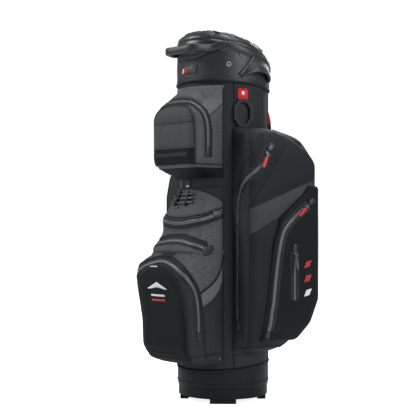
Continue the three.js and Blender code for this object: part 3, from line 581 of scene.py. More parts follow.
class Paint:
    """A material, with short calls for the nodes that it is made of."""

    def __init__(self, name, rough, metal=0.0, coat=0.0, coat_rough=0.2, specular=0.5):
        self.material = bpy.data.materials.new(name)
        self.material.use_nodes = True
        self.nodes, self.links = self.material.node_tree.nodes, self.material.node_tree.links
        self.shader = self.nodes["Principled BSDF"]
        for socket, value in (("Roughness", rough), ("Metallic", metal), ("Coat Weight", coat),
                              ("Coat Roughness", coat_rough), ("Specular IOR Level", specular)):
            self.shader.inputs[socket].default_value = value
        self.coordinates = self.nodes.new("ShaderNodeTexCoord").outputs
        self.rough = rough

    def maths(self, operation, *values):
        n = self.nodes.new("ShaderNodeMath")
        n.operation = operation
        for socket, value in zip(n.inputs, values):
            if isinstance(value, (int, float)):
                socket.default_value = value
            else:
                self.links.new(value, socket)
        return n.outputs[0]

    def noise(self, scale, detail=3.0, rough=0.55, where=None):
        n = self.nodes.new("ShaderNodeTexNoise")
        for socket, value in (("Scale", scale), ("Detail", detail), ("Roughness", rough)):
            n.inputs[socket].default_value = value
        self.links.new(self.coordinates["Object"] if where is None else where, n.inputs["Vector"])
        return n.outputs["Fac"]

    def mapped(self, where, socket, value):
        n = self.nodes.new("ShaderNodeMapping")
        n.inputs[socket].default_value = value
        self.links.new(where, n.inputs["Vector"])
        return n.outputs["Vector"]

    def ramp(self, fac, low, high, start=0.3, end=0.7):
        n = self.nodes.new("ShaderNodeValToRGB")
        for element, place, colour in zip(n.color_ramp.elements, (start, end), (low, high)):
            element.position, element.color = place, (*colour, 1)
        self.links.new(fac, n.inputs["Fac"])
        return n.outputs["Color"]

    def mottled(self, fac, colour, spread, start=0.3, end=0.7):
        low, high = (tuple(min(c * (1 + s), 1) for c in colour) for s in (-spread, spread))
        return self.ramp(fac, low, high, start, end)

    def mix(self, fac, first, second):
        n = self.nodes.new("ShaderNodeMix")
        n.data_type = "RGBA"
        for value, socket in ((fac, 0), (first, 6), (second, 7)):
            if isinstance(value, float):
                n.inputs[socket].default_value = value
            elif isinstance(value, tuple):
                n.inputs[socket].default_value = (*value, 1)
            else:
                self.links.new(value, n.inputs[socket])
        return n.outputs[2]

    def finish(self, colour, uneven, spread, height, strength, distance):
        """Sets the colour, a roughness that an uneven value spreads about its own, and the bump."""
        self.links.new(colour, self.shader.inputs["Base Color"])
        rough = self.maths("MULTIPLY_ADD", uneven, spread, self.rough - spread / 2)
        self.links.new(rough, self.shader.inputs["Roughness"])
        bump = self.nodes.new("ShaderNodeBump")
        bump.inputs["Strength"].default_value = strength
        bump.inputs["Distance"].default_value = distance
        self.links.new(height, bump.inputs["Height"])
        self.links.new(bump.outputs["Normal"], self.shader.inputs["Normal"])
        return self.material


def fabric(name, colour, rip=0.0, weave=1.1, rough=0.6, turn=0.0, melange=0.0, depth=0.00035, rip_light=0.25,
           specular=0.3):
    """Woven cloth: a plain weave, ripstop squares where rip is their size in mm, and a mottled yarn."""
    p = Paint(name, rough, specular=specular)
    thread_way = p.mapped(p.coordinates["UV"], "Rotation", (0, 0, math.radians(turn)))
    split = p.nodes.new("ShaderNodeSeparateXYZ")
    p.links.new(thread_way, split.inputs[0])
    u, v = split.outputs[0], split.outputs[1]

    def wave(value, period, operation="SINE"):
        return p.maths(operation, p.maths("MULTIPLY", value, 2 * math.pi / (period * MM)))

    height = p.maths("MULTIPLY", p.maths("MULTIPLY", wave(u, weave), wave(v, weave)), 0.35)
    fine = p.noise(420.0, 2.0, 0.7)
    base = p.mottled(p.noise(14.0, 4.0), colour, 0.16)
    if rip:
        lines = p.maths("MAXIMUM", wave(u, rip * 2, "COSINE"), wave(v, rip * 2, "COSINE"))
        lines = p.maths("POWER", p.maths("MAXIMUM", lines, 0.0), 26.0)
        height = p.maths("ADD", height, p.maths("MULTIPLY", lines, 0.9))
        lit = tuple(min(c * (1 + rip_light * 2) + 0.004, 1) for c in colour)
        base = p.mix(p.maths("MULTIPLY", lines, rip_light * 1.6), base, lit)
    if melange:
        yarn = p.noise(260.0, 3.0, 0.5, p.mapped(thread_way, "Scale", (0.35, 2.2, 1)))
        base = p.mix(0.7, base, p.mottled(yarn, colour, melange, 0.38, 0.62))
    height = p.maths("ADD", height, p.maths("MULTIPLY", fine, 0.3))
    return p.finish(base, fine, 0.18, height, 0.55, depth)


def leather(name, colour, rough=0.42, coat=0.12, specular=0.5):
    """Grained leather cloth, with a thin gloss."""
    p = Paint(name, rough, coat=coat, coat_rough=0.35, specular=specular)
    cells = p.nodes.new("ShaderNodeTexVoronoi")
    cells.feature = "DISTANCE_TO_EDGE"
    cells.inputs["Scale"].default_value = 620.0
    p.links.new(p.coordinates["Object"], cells.inputs["Vector"])
    grain = p.maths("MINIMUM", cells.outputs["Distance"], 0.18)
    fine = p.noise(300.0)
    height = p.maths("MULTIPLY_ADD", grain, 3.0, p.maths("MULTIPLY", fine, 0.5))
    return p.finish(p.mottled(p.noise(9.0, 4.0), colour, 0.2), fine, 0.22, height, 0.45, 0.00035)


def moulded(name, colour, rough, grain=0.4, coat=0.0, metal=0.0, scale=900.0, spread=0.12, specular=0.5):
    """Moulded plastic, rubber or metal: a fine texture, and edges rubbed a little lighter."""
    p = Paint(name, rough, metal, coat, 0.15, specular)
    big = p.noise(18.0, 4.0)
    edges = p.nodes.new("ShaderNodeNewGeometry").outputs["Pointiness"]
    rubbed = p.maths("MULTIPLY", p.maths("SUBTRACT", edges, 0.52), 5.0)
    rubbed = p.maths("MINIMUM", p.maths("MAXIMUM", rubbed, 0.0), 0.5)
    worn = tuple(min(c * 1.8 + 0.01, 1) for c in colour)
    colour = p.mix(rubbed, p.mottled(big, colour, spread), worn)
    return p.finish(colour, big, 0.2, p.noise(scale, 2.0), grain, 0.00025)


def teeth(name, colour):
    """The closed zip's coated face: fine cross ribs and a dark middle line. U runs along, V across."""
    p = Paint(name, 0.4, coat=0.25, coat_rough=0.3)
    split = p.nodes.new("ShaderNodeSeparateXYZ")
    p.links.new(p.coordinates["UV"], split.inputs[0])
    ribs = p.maths("SINE", p.maths("MULTIPLY", split.outputs[0], 2 * math.pi / (1.6 * MM)))
    centre = p.maths("LESS_THAN", p.maths("ABSOLUTE", split.outputs[1]), 0.4 * MM)
    big = p.noise(30.0)
    dark = tuple(c * 0.25 for c in colour)
    colour = p.mix(p.maths("MULTIPLY", centre, 0.85), p.mottled(big, colour, 0.14), dark)
    height = p.maths("MULTIPLY_ADD", ribs, 0.35, p.maths("MULTIPLY", centre, -1.5))
    return p.finish(colour, big, 0.2, height, 0.6, 0.0003)


black_cloth = fabric("black_ripstop", (0.0135, 0.0155, 0.018), 4.5, rough=0.62, rip_light=0.35)
black_diagonal = fabric("black_diagonal_ripstop", (0.0075, 0.0092, 0.0115), 3.4, rough=0.62, turn=38.0,
                        rip_light=0.3, specular=0.22, depth=0.00022)
# The flat pocket's cloth: the diagonal ripstop again with less gloss, and darker as painted shade for a face
# that turns to the side lamp.
black_outer_painted_shade = fabric("black_ripstop_painted_shade", (0.0042, 0.0056, 0.0074), 3.4, rough=0.64, turn=38.0,
                     rip_light=0.3, specular=0.16, depth=0.00022)
black_panel = fabric("black_twill", (0.0045, 0.006, 0.0078), weave=1.4, rough=0.66, specular=0.16)
grey_cloth = fabric("grey_coated_cloth", (0.058, 0.063, 0.066), 5.0, rough=0.5, rip_light=0.22, melange=0.2)
grey_heather = fabric("grey_heather", (0.07, 0.075, 0.077), 4.0, rough=0.58, rip_light=0.16, melange=0.38)
grey_panel = fabric("grey_panel", (0.046, 0.0495, 0.0515), 4.0, rough=0.58, rip_light=0.16, melange=0.38)
grey_light = fabric("light_grey_cloth", (0.105, 0.112, 0.115), weave=1.3, melange=0.25)
stripe_cloth = fabric("charcoal_stripe", (0.032, 0.035, 0.038), 2.6, rough=0.55, turn=38.0, rip_light=0.35)
binding = fabric("binding_tape", (0.0075, 0.0085, 0.01), weave=1.8, depth=0.0005)
thread = fabric("thread", (0.03, 0.033, 0.036), weave=0.7)
red_web = fabric("red_webbing", (0.62, 0.012, 0.022), weave=2.2, rough=0.55, depth=0.0006)
black_web = fabric("black_webbing", (0.012, 0.013, 0.015), weave=2.4, rough=0.65, depth=0.0007)
white_web = fabric("white_webbing", (0.55, 0.56, 0.57), weave=2.2, depth=0.0006)
liner_cloth = fabric("brushed_liner", (0.006, 0.0068, 0.008), weave=1.6, rough=0.9)
mesh_pad = fabric("spacer_mesh", (0.011, 0.012, 0.014), 3.2, 1.6, 0.8, depth=0.0009, rip_light=0.15)
black_leather = leather("black_leather", (0.0155, 0.0178, 0.0205))
cuff_leather = leather("cuff_leather", (0.005, 0.0065, 0.0085), 0.5, coat=0.03, specular=0.22)
hood_leather = leather("hood_leather", (0.0165, 0.0185, 0.021), 0.38)
black_plastic = moulded("black_plastic", (0.010, 0.011, 0.013), 0.3, coat=0.15)
dome_plastic = moulded("dome_plastic", (0.0165, 0.018, 0.0205), 0.38, coat=0.15)
# A lighter copy of the dome's plastic for the opening lips: a painted highlight along each rim.
lip_painted_highlight = moulded("lip_painted_highlight", (0.045, 0.048, 0.052), 0.4, 0.2, 0.1)
tray_plastic = moulded("tray_plastic", (0.004, 0.005, 0.0062), 0.5, 0.6, scale=600.0, specular=0.2)
black_rubber = moulded("black_rubber", (0.0145, 0.016, 0.018), 0.42, 0.5, scale=500.0)
ring_rubber = moulded("ring_rubber", (0.0035, 0.0042, 0.0052), 0.5, 0.5, scale=500.0, specular=0.25)
steel = moulded("polished_metal", (0.62, 0.63, 0.64), 0.2, 0.08, metal=1.0, spread=0.04)
gunmetal = moulded("dark_metal", (0.12, 0.125, 0.13), 0.3, 0.1, metal=1.0, spread=0.06)
pull_rubber = moulded("pull_rubber", (0.012, 0.013, 0.015), 0.5, 0.5)
red_rubber = moulded("red_pull", (0.4, 0.007, 0.013), 0.42, 0.3)
white_print = moulded("pale_print", (0.66, 0.67, 0.68), 0.5, 0.15)
zip_face = teeth("zip_face", (0.085, 0.09, 0.093))
zip_cloth = fabric("zip_cloth", (0.011, 0.0125, 0.0145), weave=1.2, depth=0.0003)

# ---------------------------------------------------------------- body, base and collar

RIM_TOP, RIM_SLOPE, COLLAR_LOW, COLLAR_SLOPE = 830.0, -0.27, 751.0, -0.08
COLLAR_OUT, RIM_OUT = 112.4, 117.0
DOME_OUT = 113.0
CUFF_LOW, CUFF_TOP, CUFF_SLOPE = 35.0, 86.0, 0.08


def depth_at(angle, radius):
    return -radius * np.cos(np.radians(angle))


def collar_low(angle):
    return COLLAR_LOW + COLLAR_SLOPE * depth_at(angle, BODY)


def cuff_top(angle):
    return CUFF_TOP + CUFF_SLOPE * depth_at(angle, BODY)


def rim_low(angle):
    dip = ease((44 - np.abs(angle)) / 36)
    return RIM_TOP - 20 + RIM_SLOPE * depth_at(angle, 115.0) - 27 * dip + 3 * (1 - dip)


def rim_high(angle):
    a = np.abs(angle)
    dip = ease((50 - a) / 20) - 0.3 * ease((20 - a) / 18)
    return RIM_TOP + RIM_SLOPE * depth_at(angle, 115.0) - 20 * dip - 4 * np.exp(-((a - 86) / 16) ** 2) + 1


def body_section(angle):
    low, high = cuff_top(angle) + 0.5, collar_low(angle) + 30
    rows = []
    for k in range(150):
        z = low + (high - low) * k / 149
        p = around(angle, BODY, z)
        near = polyline_distance(angle, z, BODY_SEAMS, Tube.width)
        free = 1 - np.exp(-(near / 12) ** 2)
        rows.append((BODY - 0.2 - 0.9 * free * (0.5 + 0.5 * waves(p, 46.0, 77)), z))
    return rows + [(BODY - 3.9, high), (BODY - 3.9, low)]


BODY_PIPINGS = (-59, 59, 133, -125)
BODY_SEAMS = [[(a, 80), (a, 800)] for a in (*BODY_PIPINGS, 180)]
tube = Tube(BODY - 0.2)
body_shell = lathe_piece("body_shell", body_section, black_cloth, 200)
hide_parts("body_tube")
for k, a in enumerate(BODY_PIPINGS):
    line = [(a, float(cuff_top(a)) + 1), (a, float(collar_low(a)) + 4)]
    piping("body_piping_%d" % k, tube, line, binding, 1.9, soften=0, step=8)
stitches("body_stitches", [(tube, [(a, 95), (a, 745)], s) for a in BODY_PIPINGS for s in (-6.5, 6.5)], thread)


def cuff_section(angle):
    top = cuff_top(angle)
    r = BODY + 1
    rows = [(r - 4.4, CUFF_LOW), (r - 0.8, CUFF_LOW)]
    for t in np.linspace(0, 1, 16):
        bulge = 0.9 * math.sin(math.pi * t) ** 0.5 - 0.2
        rows.append((r + bulge, CUFF_LOW + 1.2 + (top - CUFF_LOW - 2.4) * t))
    rows += [(r - 0.9, top), (r - 4.4, top)]
    return rows


cuff = lathe_piece("base_cuff_leather", cuff_section, cuff_leather, 160)
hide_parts("base_cuff")
cuff_skin = Tube(BODY + 1.4)
full = np.linspace(-180, 180, 49)
piping("cuff_top_piping", cuff_skin, [(a, float(cuff_top(a)) - 1.5) for a in full], binding, 2.2, 0,
       lift=0.4, step=6)
piping("cuff_low_piping", cuff_skin, [(a, CUFF_LOW + 10) for a in full], binding, 1.4, 0, lift=0.3, step=6)
stitches("cuff_stitches", [(cuff_skin, [(a, float(cuff_top(a)) - 7) for a in full], 0),
                           (cuff_skin, [(a, CUFF_LOW + 14.5) for a in full], 0)], thread)
refine("base_tray", tray_plastic, 1.6, 3)


def collar_section(angle):
    low, high = collar_low(angle), rim_low(angle) + 4
    rows = [(BODY + 0.5, low), (COLLAR_OUT - 1, low)]
    for k in range(24):
        t = k / 23
        z = low + 1 + (high - low - 1) * t
        p = around(angle, COLLAR_OUT, z)
        near = polyline_distance(angle, z, COLLAR_SEAMS, Tube.width)
        free = 1 - np.exp(-(near / 9) ** 2)
        rows.append((COLLAR_OUT - 0.6 + free * (0.7 * math.sin(math.pi * t) + 0.35 * waves(p, 34.0, 12)), z))
    return rows + [(COLLAR_OUT - 1.5, high + 1), (BODY + 0.5, high + 1)]


COLLAR_SEAMS = [[(a, 740), (a, 860)] for a in (-74, 128, -128)]
collar = lathe_piece("collar_leather", collar_section, black_leather, 220)
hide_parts("collar")
collar_skin = Tube(COLLAR_OUT)
low_edge = [(a, float(collar_low(a))) for a in full]
piping("collar_low_piping", collar_skin, [(a, z + 1.6) for a, z in low_edge], binding, 2.3, 0, lift=0.3,
       step=6)
stitches("collar_stitches", [(collar_skin, [(a, z + 7) for a, z in low_edge], 0),
                             (collar_skin, [(a, z + 11) for a, z in low_edge], 0)], thread)
for k, a in enumerate((-74, 128, -128)):
    piping("collar_seam_%d" % k, collar_skin, [(a, float(collar_low(a)) + 3), (a, float(rim_low(a)) - 2)],
           binding, 1.0,
           0, lift=0.1)

# The rim band, with the dip at the front where the lift handle leaves it.


def rim_section(angle):
    low, high = rim_low(angle), rim_high(angle)
    inner = RIM_OUT - 11
    rows = [(inner, low), (RIM_OUT - 2.6, low)]
    for t in np.linspace(-1, 1, 13):
        swell = (1 - abs(t) ** 3) ** 0.5 if abs(t) < 1 else 0.0
        rows.append((RIM_OUT - 2.6 + 2.6 * swell, (low + high) / 2 + (high - low - 1.0) / 2 * t))
    rows += [(RIM_OUT - 3.6, high), (inner, high)]
    return rows


rim = lathe_piece("rim_rubber", rim_section, black_rubber, 260)
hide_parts("rim_band")


def skirt_section(angle):
    top = RIM_TOP + 1.5 + RIM_SLOPE * depth_at(angle, DOME_OUT)
    return [(DOME_OUT - 6, top - 26), (DOME_OUT - 1.2, top - 26),
            (DOME_OUT - 0.3, top - 12), (DOME_OUT - 0.2, top - 1), (DOME_OUT - 6, top)]


lathe_piece("top_skirt", skirt_section, black_plastic, 200)


def curve_through(stops, count):
    """Points of a smooth line through some stops."""
    p = np.array(stops, float)
    p = np.concatenate([[2 * p[0] - p[1]], p, [2 * p[-1] - p[-2]]])
    out = []
    for k in range(1, len(p) - 2):
        t = np.linspace(0, 1, count, endpoint=False)[:, None]
        a, b, c, d = p[k - 1], p[k], p[k + 1], p[k + 2]
        square, cube = 2 * a - 5 * b + 4 * c - d, 3 * b - a - 3 * c + d
        out.append(0.5 * (2 * b + (c - a) * t + square * t ** 2 + cube * t ** 3))
    return np.concatenate(out + [p[-2:-1]])


def lift_handle_piece():
    """The bar that leaves the rim band on one side, reaches forward and comes back on the other."""
    half = [(0, -146.9), (26, -146.9), (41, -143.5), (50, -133), (55, -119), (62, -104), (72, -91.5),
            (84, -78)]
    plan = curve_through([(-x, y) for x, y in half[:0:-1]] + half, 7)
    angle = np.degrees(np.arctan2(plan[:, 0], -plan[:, 1]))
    reach = np.linalg.norm(plan, axis=1)
    into_rim = ease((128 - reach) / 14)
    rim_z = (rim_low(angle) + rim_high(angle)) / 2
    z = 831.5 * (1 - into_rim) + rim_z * into_rim + 1.5 * ease((np.abs(plan[:,
                                                                            0]) - 20) / 30) * (1 - into_rim)
    line = np.column_stack([plan, z])
    along = unit(np.gradient(line, axis=0))
    side = unit(np.cross(along, [0, 0, 1.0]))
    up = np.cross(side, along)
    t = np.arange(20) * 2 * math.pi / 20
    wide = 6.6 * np.sign(np.cos(t)) * np.abs(np.cos(t)) ** 0.62
    tall = 9.2 * np.sign(np.sin(t)) * np.abs(np.sin(t)) ** 0.62
    grooves = 1 - 0.05 * (np.abs(plan[:, 0]) < 34) * (np.sin(plan[:, 0] * 1.1) > 0.55)
    rings = (line[:, None] + side[:, None] * wide[None, :, None] * grooves[:, None, None]
             + up[:, None] * tall[None, :, None] * grooves[:, None, None])
    faces = closed_faces(len(line), len(t))
    return outwards(make("lift_handle_grip", rings, faces, black_rubber))


handle = lift_handle_piece()
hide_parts("lift_handle")

# The moulded top: the CAD solid with rounded edges, and a raised lip round every opening, in a lighter copy
# of its plastic that paints a highlight along each rim.
organiser = remeshed("organiser_moulding", "organiser_top", dome_plastic, 1.5, 7)
DOME = np.array([(0, 40), (53, 38), (85, 30), (100, 22), (108, 14), (112, 6), (113, 0)], float)
HOLE_CIRCLE, MARGIN, WALL, HALF_X, HALF_ROW, SIDE_ROW = 99.0, 3.5, 3.0, 38.0, 32.0, 46.0


def compartments():
    cells = []
    for side in (-1, 1):
        x = sorted((side * WALL / 2, side * (HALF_X - WALL / 2)))
        for row in (-1, 0, 1):
            y = (-HALF_ROW + WALL / 2, HALF_ROW - WALL / 2)
            if row:
                y = sorted((row * (HALF_ROW + WALL / 2), row * HOLE_CIRCLE))
            cells.append((x, y))
        x = sorted((side * (HALF_X + WALL / 2), side * BODY))
        for row in (-2, -1, 0, 1):
            cells.append((x, (row * SIDE_ROW + WALL / 2, (row + 1) * SIDE_ROW - WALL / 2)))
    return cells


def clipped_cell(x, y):
    """An opening's outline: its rounded corners, pulled in to the circle that all openings stay inside."""
    (x0, x1), (y0, y1) = ((side[0] + MARGIN, side[1] - MARGIN) for side in (x, y))
    outline = rounded([(x0, y0), (x1, y0), (x1, y1), (x0, y1)], 8.0, 5)
    dense = []
    for p, q in zip(outline, outline[1:] + outline[:1]):
        p, q = np.array(p), np.array(q)
        steps = max(1, int(np.linalg.norm(q - p) / 2.5))
        dense += [p + (q - p) * k / steps for k in range(steps)]
    middle = sum(dense) / len(dense)
    out = []
    for p in dense:
        t = 1.0
        while np.linalg.norm(middle + (p - middle) * t) > HOLE_CIRCLE and t > 0:
            t -= 0.01
        out.append(middle + (p - middle) * t)
    return np.array(out)


SHOULDER_DIPS = ((12, 7), (37, 11), (57, 7), (79, 9), (105, 9), (132, 9), (160, 8))
DIP_HEIGHT, DIP_INNER = 23.0, 82.0


def dome_height(x, y):
    """How far the dome stands above its sloped base, with the half-round dips cut into its shoulder."""
    r = np.hypot(x, y)
    height = np.interp(r, DOME[:, 0], DOME[:, 1])
    angle = np.arctan2(x, -y)
    for degrees, radius in SHOULDER_DIPS:
        for side in (-1, 1):
            turn = angle - side * math.radians(degrees)
            aside, along = r * np.sin(turn), r * np.cos(turn)
            deep = np.sqrt(np.clip(radius ** 2 - aside ** 2, 0, None))
            inside = (np.abs(aside) < radius) & (along > DIP_INNER) & (height < DIP_HEIGHT + deep)
            height = np.where(inside, np.minimum(height, DIP_HEIGHT - deep), height)
    return height


def closed_tube(points, radius, closed=True):
    """Points and faces of a round bar along a line."""
    p = np.asarray(points, float)
    along = unit(np.roll(p, -1, axis=0) - np.roll(p, 1, axis=0) if closed else np.gradient(p, axis=0))
    leaning = np.column_stack([p[:, :2] * 0.001, np.ones(len(p))])
    up = unit(leaning - along * (along * leaning).sum(1, keepdims=True))
    side = np.cross(along, up)
    t = (np.arange(8) * math.pi / 4)[None, :, None]
    rings = p[:, None] + radius * (np.cos(t) * side[:, None] + np.sin(t) * up[:, None])
    if closed:
        return rings, grid_faces(len(p), 8, around_cols=True, around_rows=True)
    return rings, closed_faces(len(p), 8)


lips = []
for x, y in compartments():
    line = clipped_cell(x, y)
    for _ in range(3):
        line = (np.roll(line, 1, axis=0) + line * 2 + np.roll(line, -1, axis=0)) / 4
    height = dome_height(line[:, 0], line[:, 1])
    whole = np.interp(np.hypot(line[:, 0], line[:, 1]), DOME[:, 0], DOME[:, 1])
    height = np.where(whole - height > 0.3, height - 4, height)
    z = RIM_TOP + GAP + height + RIM_SLOPE * line[:, 1]
    lips.append(closed_tube(np.column_stack([line, z - 0.6]), 2.1))
for degrees, radius in SHOULDER_DIPS:
    for side in (-1, 1):
        t = np.linspace(-1, 1, 15) * math.radians(88)
        aside, height = radius * np.sin(t), DIP_HEIGHT - radius * np.cos(t)
        reach = np.interp(-height, -DOME[:, 1], DOME[:, 0])
        turn = side * math.radians(degrees)
        along = np.sqrt(np.maximum(reach ** 2 - aside ** 2, 0))
        x = along * math.sin(turn) + aside * math.cos(turn)
        y = -along * math.cos(turn) + aside * math.sin(turn)
        z = RIM_TOP + GAP + height + RIM_SLOPE * y
        lips.append(closed_tube(np.column_stack([x, y, z]), 1.7, closed=False))
points, faces = joined(lips)
# The lips are in the lighter plastic: painted highlights round the openings.
outwards(make("opening_lips", points, faces, lip_painted_highlight))
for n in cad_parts:
    if n.startswith("divider"):
        refine(n, liner_cloth, 0.5, 1)

# Small fittings on the collar: screws, the snap, the eyelet and a plain badge.
SCREWS = ((22.7, 810.2), (66.0, 822.5), (122.3, 794.3), (131.6, 779.0), (-24, 810), (-66, 822))
SCREW_SLOT = [(-1.8, -0.35), (1.8, -0.35), (1.8, 0.35), (-1.8, 0.35)]
for k, place in enumerate(SCREWS):
    patch("collar_screw_%d" % k, collar_skin, place, oval(3, 3), gunmetal, 1.3, -1, 5, 0.7)
    patch("collar_screw_%d_slot" % k, collar_skin, place, SCREW_SLOT, binding, 2.1, 1.0, 3, 0.0, turn=35)
patch("handle_snap", collar_skin, (67.5, 775.5), oval(4.6, 4.6), steel, 2.6, 0, 5, 1.2)
refine("collar_eyelet", steel, 0.5, 3)
badge = [(-31, -11), (25, -11), (31, 11), (-25, 11)]
patch("collar_badge", collar_skin, (-1, 787), rounded(badge, 4), black_rubber, 1.8, -1, 5, 0.4)
bar = [(-4.8, -6), (1.6, -6), (4.8, 6), (-1.6, 6)]
for k, (x, paint) in enumerate(((-19, white_print), (-11, red_rubber), (-3, red_rubber))):
    patch("collar_badge_bar_%d" % k, collar_skin, (-1 + x / 1.95, 787), rounded(bar, 1), paint, 2.9, 0, 3)

# ---------------------------------------------------------------- pockets

upper.seams = [UPPER_ZIP, [(-.5, 560), (-.5, 655), (-.44, 680), (-.3, 700), (.3, 700), (.44, 680),
                           (.5, 655), (.5, 560)],
               [(-.5, 597), (.5, 597)], [(-.5, 657), (.5, 657)], [(-1, 561), (1, 561)],
               [(.73, 673), (1, 708)],
               [(-.73, 673), (-1, 708)], [(-1, 531), (-1, 748)], [(1, 531), (1, 748)]]


def zone_upper(a, z):
    size = np.abs(a)
    panel_top = np.interp(size, [0, .3, .44, .5], [704, 700, 680, 655])
    front = (size < 0.5) & (z < panel_top) & (z > 561)
    arch = np.interp(size, [0, .3, .5, .72, .721], [724, 721, 708, 676, 0])
    cut = np.interp(size, [0, .731, 1], [0, 672.8, 708.4])
    light = (z > arch) & (z > cut)
    index = np.where(front, 1, np.where(light, 3, 0))
    return np.where((front & (z < 597)), 2, np.where(z < 553, 2, index))


UPPER_PANEL = [(-.5, 562), (-.5, 655), (-.44, 680), (-.3, 700), (.3, 700), (.44, 680), (.5, 655), (.5, 562)]
pocket = pocket_piece("upper_pocket_shell", upper, [grey_cloth, grey_panel, black_panel, grey_light],
                      zone_upper)
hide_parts("upper_pocket")


# The folded edge beside a zip: its section as (distance from the zip's face, height).
WELT = ((-0.2, -1.0), (4.2, -1.0), (4.4, 0.1), (3.6, 0.7), (1.6, 1.4), (0.3, 1.5), (-0.5, 1.2))


def zip_set(name, surface, stops, node, width=8.5, soften=2, proud=0.45):
    """A closed zip: its ribbed face, the folded edges either side of it, and a row of stitches along each."""
    piece = band(name + "_face", surface, stops, zip_face, width, 1.0, soften, 0.35)
    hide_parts(node)
    band(name + "_cloth", surface, stops, zip_cloth, width + 16, proud, soften, 0.1)
    parts = []
    for s in (-1, 1):
        section = [(s * (width / 2 + aside), up) for aside, up in WELT]
        parts.append(swept(surface, stops, section, 3.0, soften))
    points, faces = joined(parts)
    outwards(make(name + "_welts", points, faces, binding))
    stitches(name + "_stitches", [(surface, stops, s * (width / 2 + 6.2)) for s in (-1, 1)], thread)


def garage(name, surface, a, z, turn=0.0, size=1.0):
    """The stitched teardrop that covers a zip's end."""
    drop = [(-6, 13), (6, 13), (7.5, 0), (6, -10), (0, -14), (-6, -10), (-7.5, 0)]
    shape = rounded([(x * size, y * size) for x, y in drop], 5 * size, 3)
    return patch(name, surface, (a, z), shape, black_rubber, 2.2, -1, 5, 1.0, turn=turn)


zip_set("upper_zip", upper, UPPER_ZIP, "upper_zip")
for s in (-1, 1):
    garage("upper_garage_%s" % ("left", "right")[s > 0], upper, s * 0.72, 589, 0)
piping("upper_panel_piping", upper, UPPER_PANEL, binding, 1.5)
piping("upper_seam_high", upper, [(-.49, 657), (.49, 657)], binding, 0.9)
piping("upper_seam_low", upper, [(-.5, 597), (.5, 597)], binding, 1.3)
piping("upper_bottom_piping", upper, [(-.98, 561), (.98, 561)], binding, 1.5, 0)
for s in (-1, 1):
    piping("upper_light_seam_%d" % (s > 0), upper, [(s * .735, 673), (s * .985, 707)], binding, 0.9)
    piping("upper_edge_%d" % (s > 0), upper, [(s * .985, 540), (s * .985, 742)], binding, 1.5, 0)
stitches("upper_stitches", [(upper, UPPER_PANEL, 4), (upper, UPPER_PANEL, -4),
                            (upper, [(-.47, 662), (.47, 662)], 0),
                            (upper, [(-.47, 602), (.47, 602)], 0), (upper, [(-.47, 592), (.47, 592)], 0)],
                            thread)
band("upper_loop_band", upper, [(-.38, 583), (.38, 583)], black_web, 9, 1.6, 0, 0.3)

# Middle pocket: a sloped flap with the tee holder over two zips.
SHELF_ZIP = [(-.86, 446), (-.3, 424), (.3, 424), (.86, 446)]
TIER_ZIP = [(-.86, 365), (-.62, 365), (-.3, 384), (.3, 384), (.62, 365)]
FLAP_SEAM = [(-1, 462), (-.86, 457), (-.3, 437), (.3, 437), (.86, 457), (1, 462)]
UNDER_SEAM = [(-1, 438), (-.86, 433), (-.3, 411), (.3, 411), (.86, 433), (1, 438)]
middle.seams = [SHELF_ZIP, TIER_ZIP, FLAP_SEAM, UNDER_SEAM, [(-1, 356), (-1, 507)], [(1, 356), (1, 507)],
                [(-.34, 475), (.34, 475)]]
FLAP_TOP = [(-1, 472), (-.86, 483), (-.66, 493), (-.4, 501), (-.2, 503.5), (.2, 503.5), (.4, 501), (.66, 493),
            (.86, 483), (1, 472)]


def zone_middle(a, z):
    return np.where(z > np.interp(a, *np.transpose(FLAP_TOP)), 1, 0)


pocket = pocket_piece("middle_pocket_shell", middle, [grey_heather, black_cloth], zone_middle, low_cap=True)
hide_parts("middle_pocket")
zip_set("valuables_zip", middle, SHELF_ZIP, "valuables_zip")
zip_set("tier_zip", middle, TIER_ZIP, "tier_zip")
band("tier_cover", middle, [(a, z + 13) for a, z in TIER_ZIP], binding, 6, 1.2, 2, 0.5)
piping("flap_top_piping", middle, FLAP_TOP, binding, 1.3)
piping("flap_piping", middle, FLAP_SEAM, binding, 1.5)
piping("under_piping", middle, UNDER_SEAM, binding, 1.1)
stitches("middle_stitches", [(middle, FLAP_SEAM, 4), (middle, UNDER_SEAM, -3.5), (middle, UNDER_SEAM, -7)],
         thread)
garage("shelf_garage", middle, 0.85, 445, 78, 1.15)
garage("tier_garage", middle, 0.66, 362, 118, 1.3)
# The tee holder: three short bars side by side under two loops, and a tab below them.
bars = []
for k, z in enumerate((471, 480.5, 490)):
    line = [(-.44 + 0.04 * k, z + 1), (-.1, z - 0.6), (.3 - 0.02 * k, z + 1.4)]
    bars.append(swept(middle, line, round_section(3.1, 12, 2.6), 2.5, 1, taper=3.0))
points, faces = joined(bars)
tees = outwards(make("tee_bars", points, faces, black_plastic))
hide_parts("tee_holder")
for k, a in enumerate((-.24, .1)):
    band("tee_loop_%d" % k, middle, [(a, 464), (a, 471), (a, 480.5), (a, 490), (a, 496)], binding, 6, 6.4,
         1, 0.3)
patch("tee_tab", middle, (-.18, 461.5), plate(8, 5, 3), black_rubber, 2.2, -1, 4, 0.5)
for s in (-1, 1):
    piping("middle_edge_%d" % (s > 0), middle, [(s * .985, 362), (s * .985, 478)], binding, 1.5, 0)

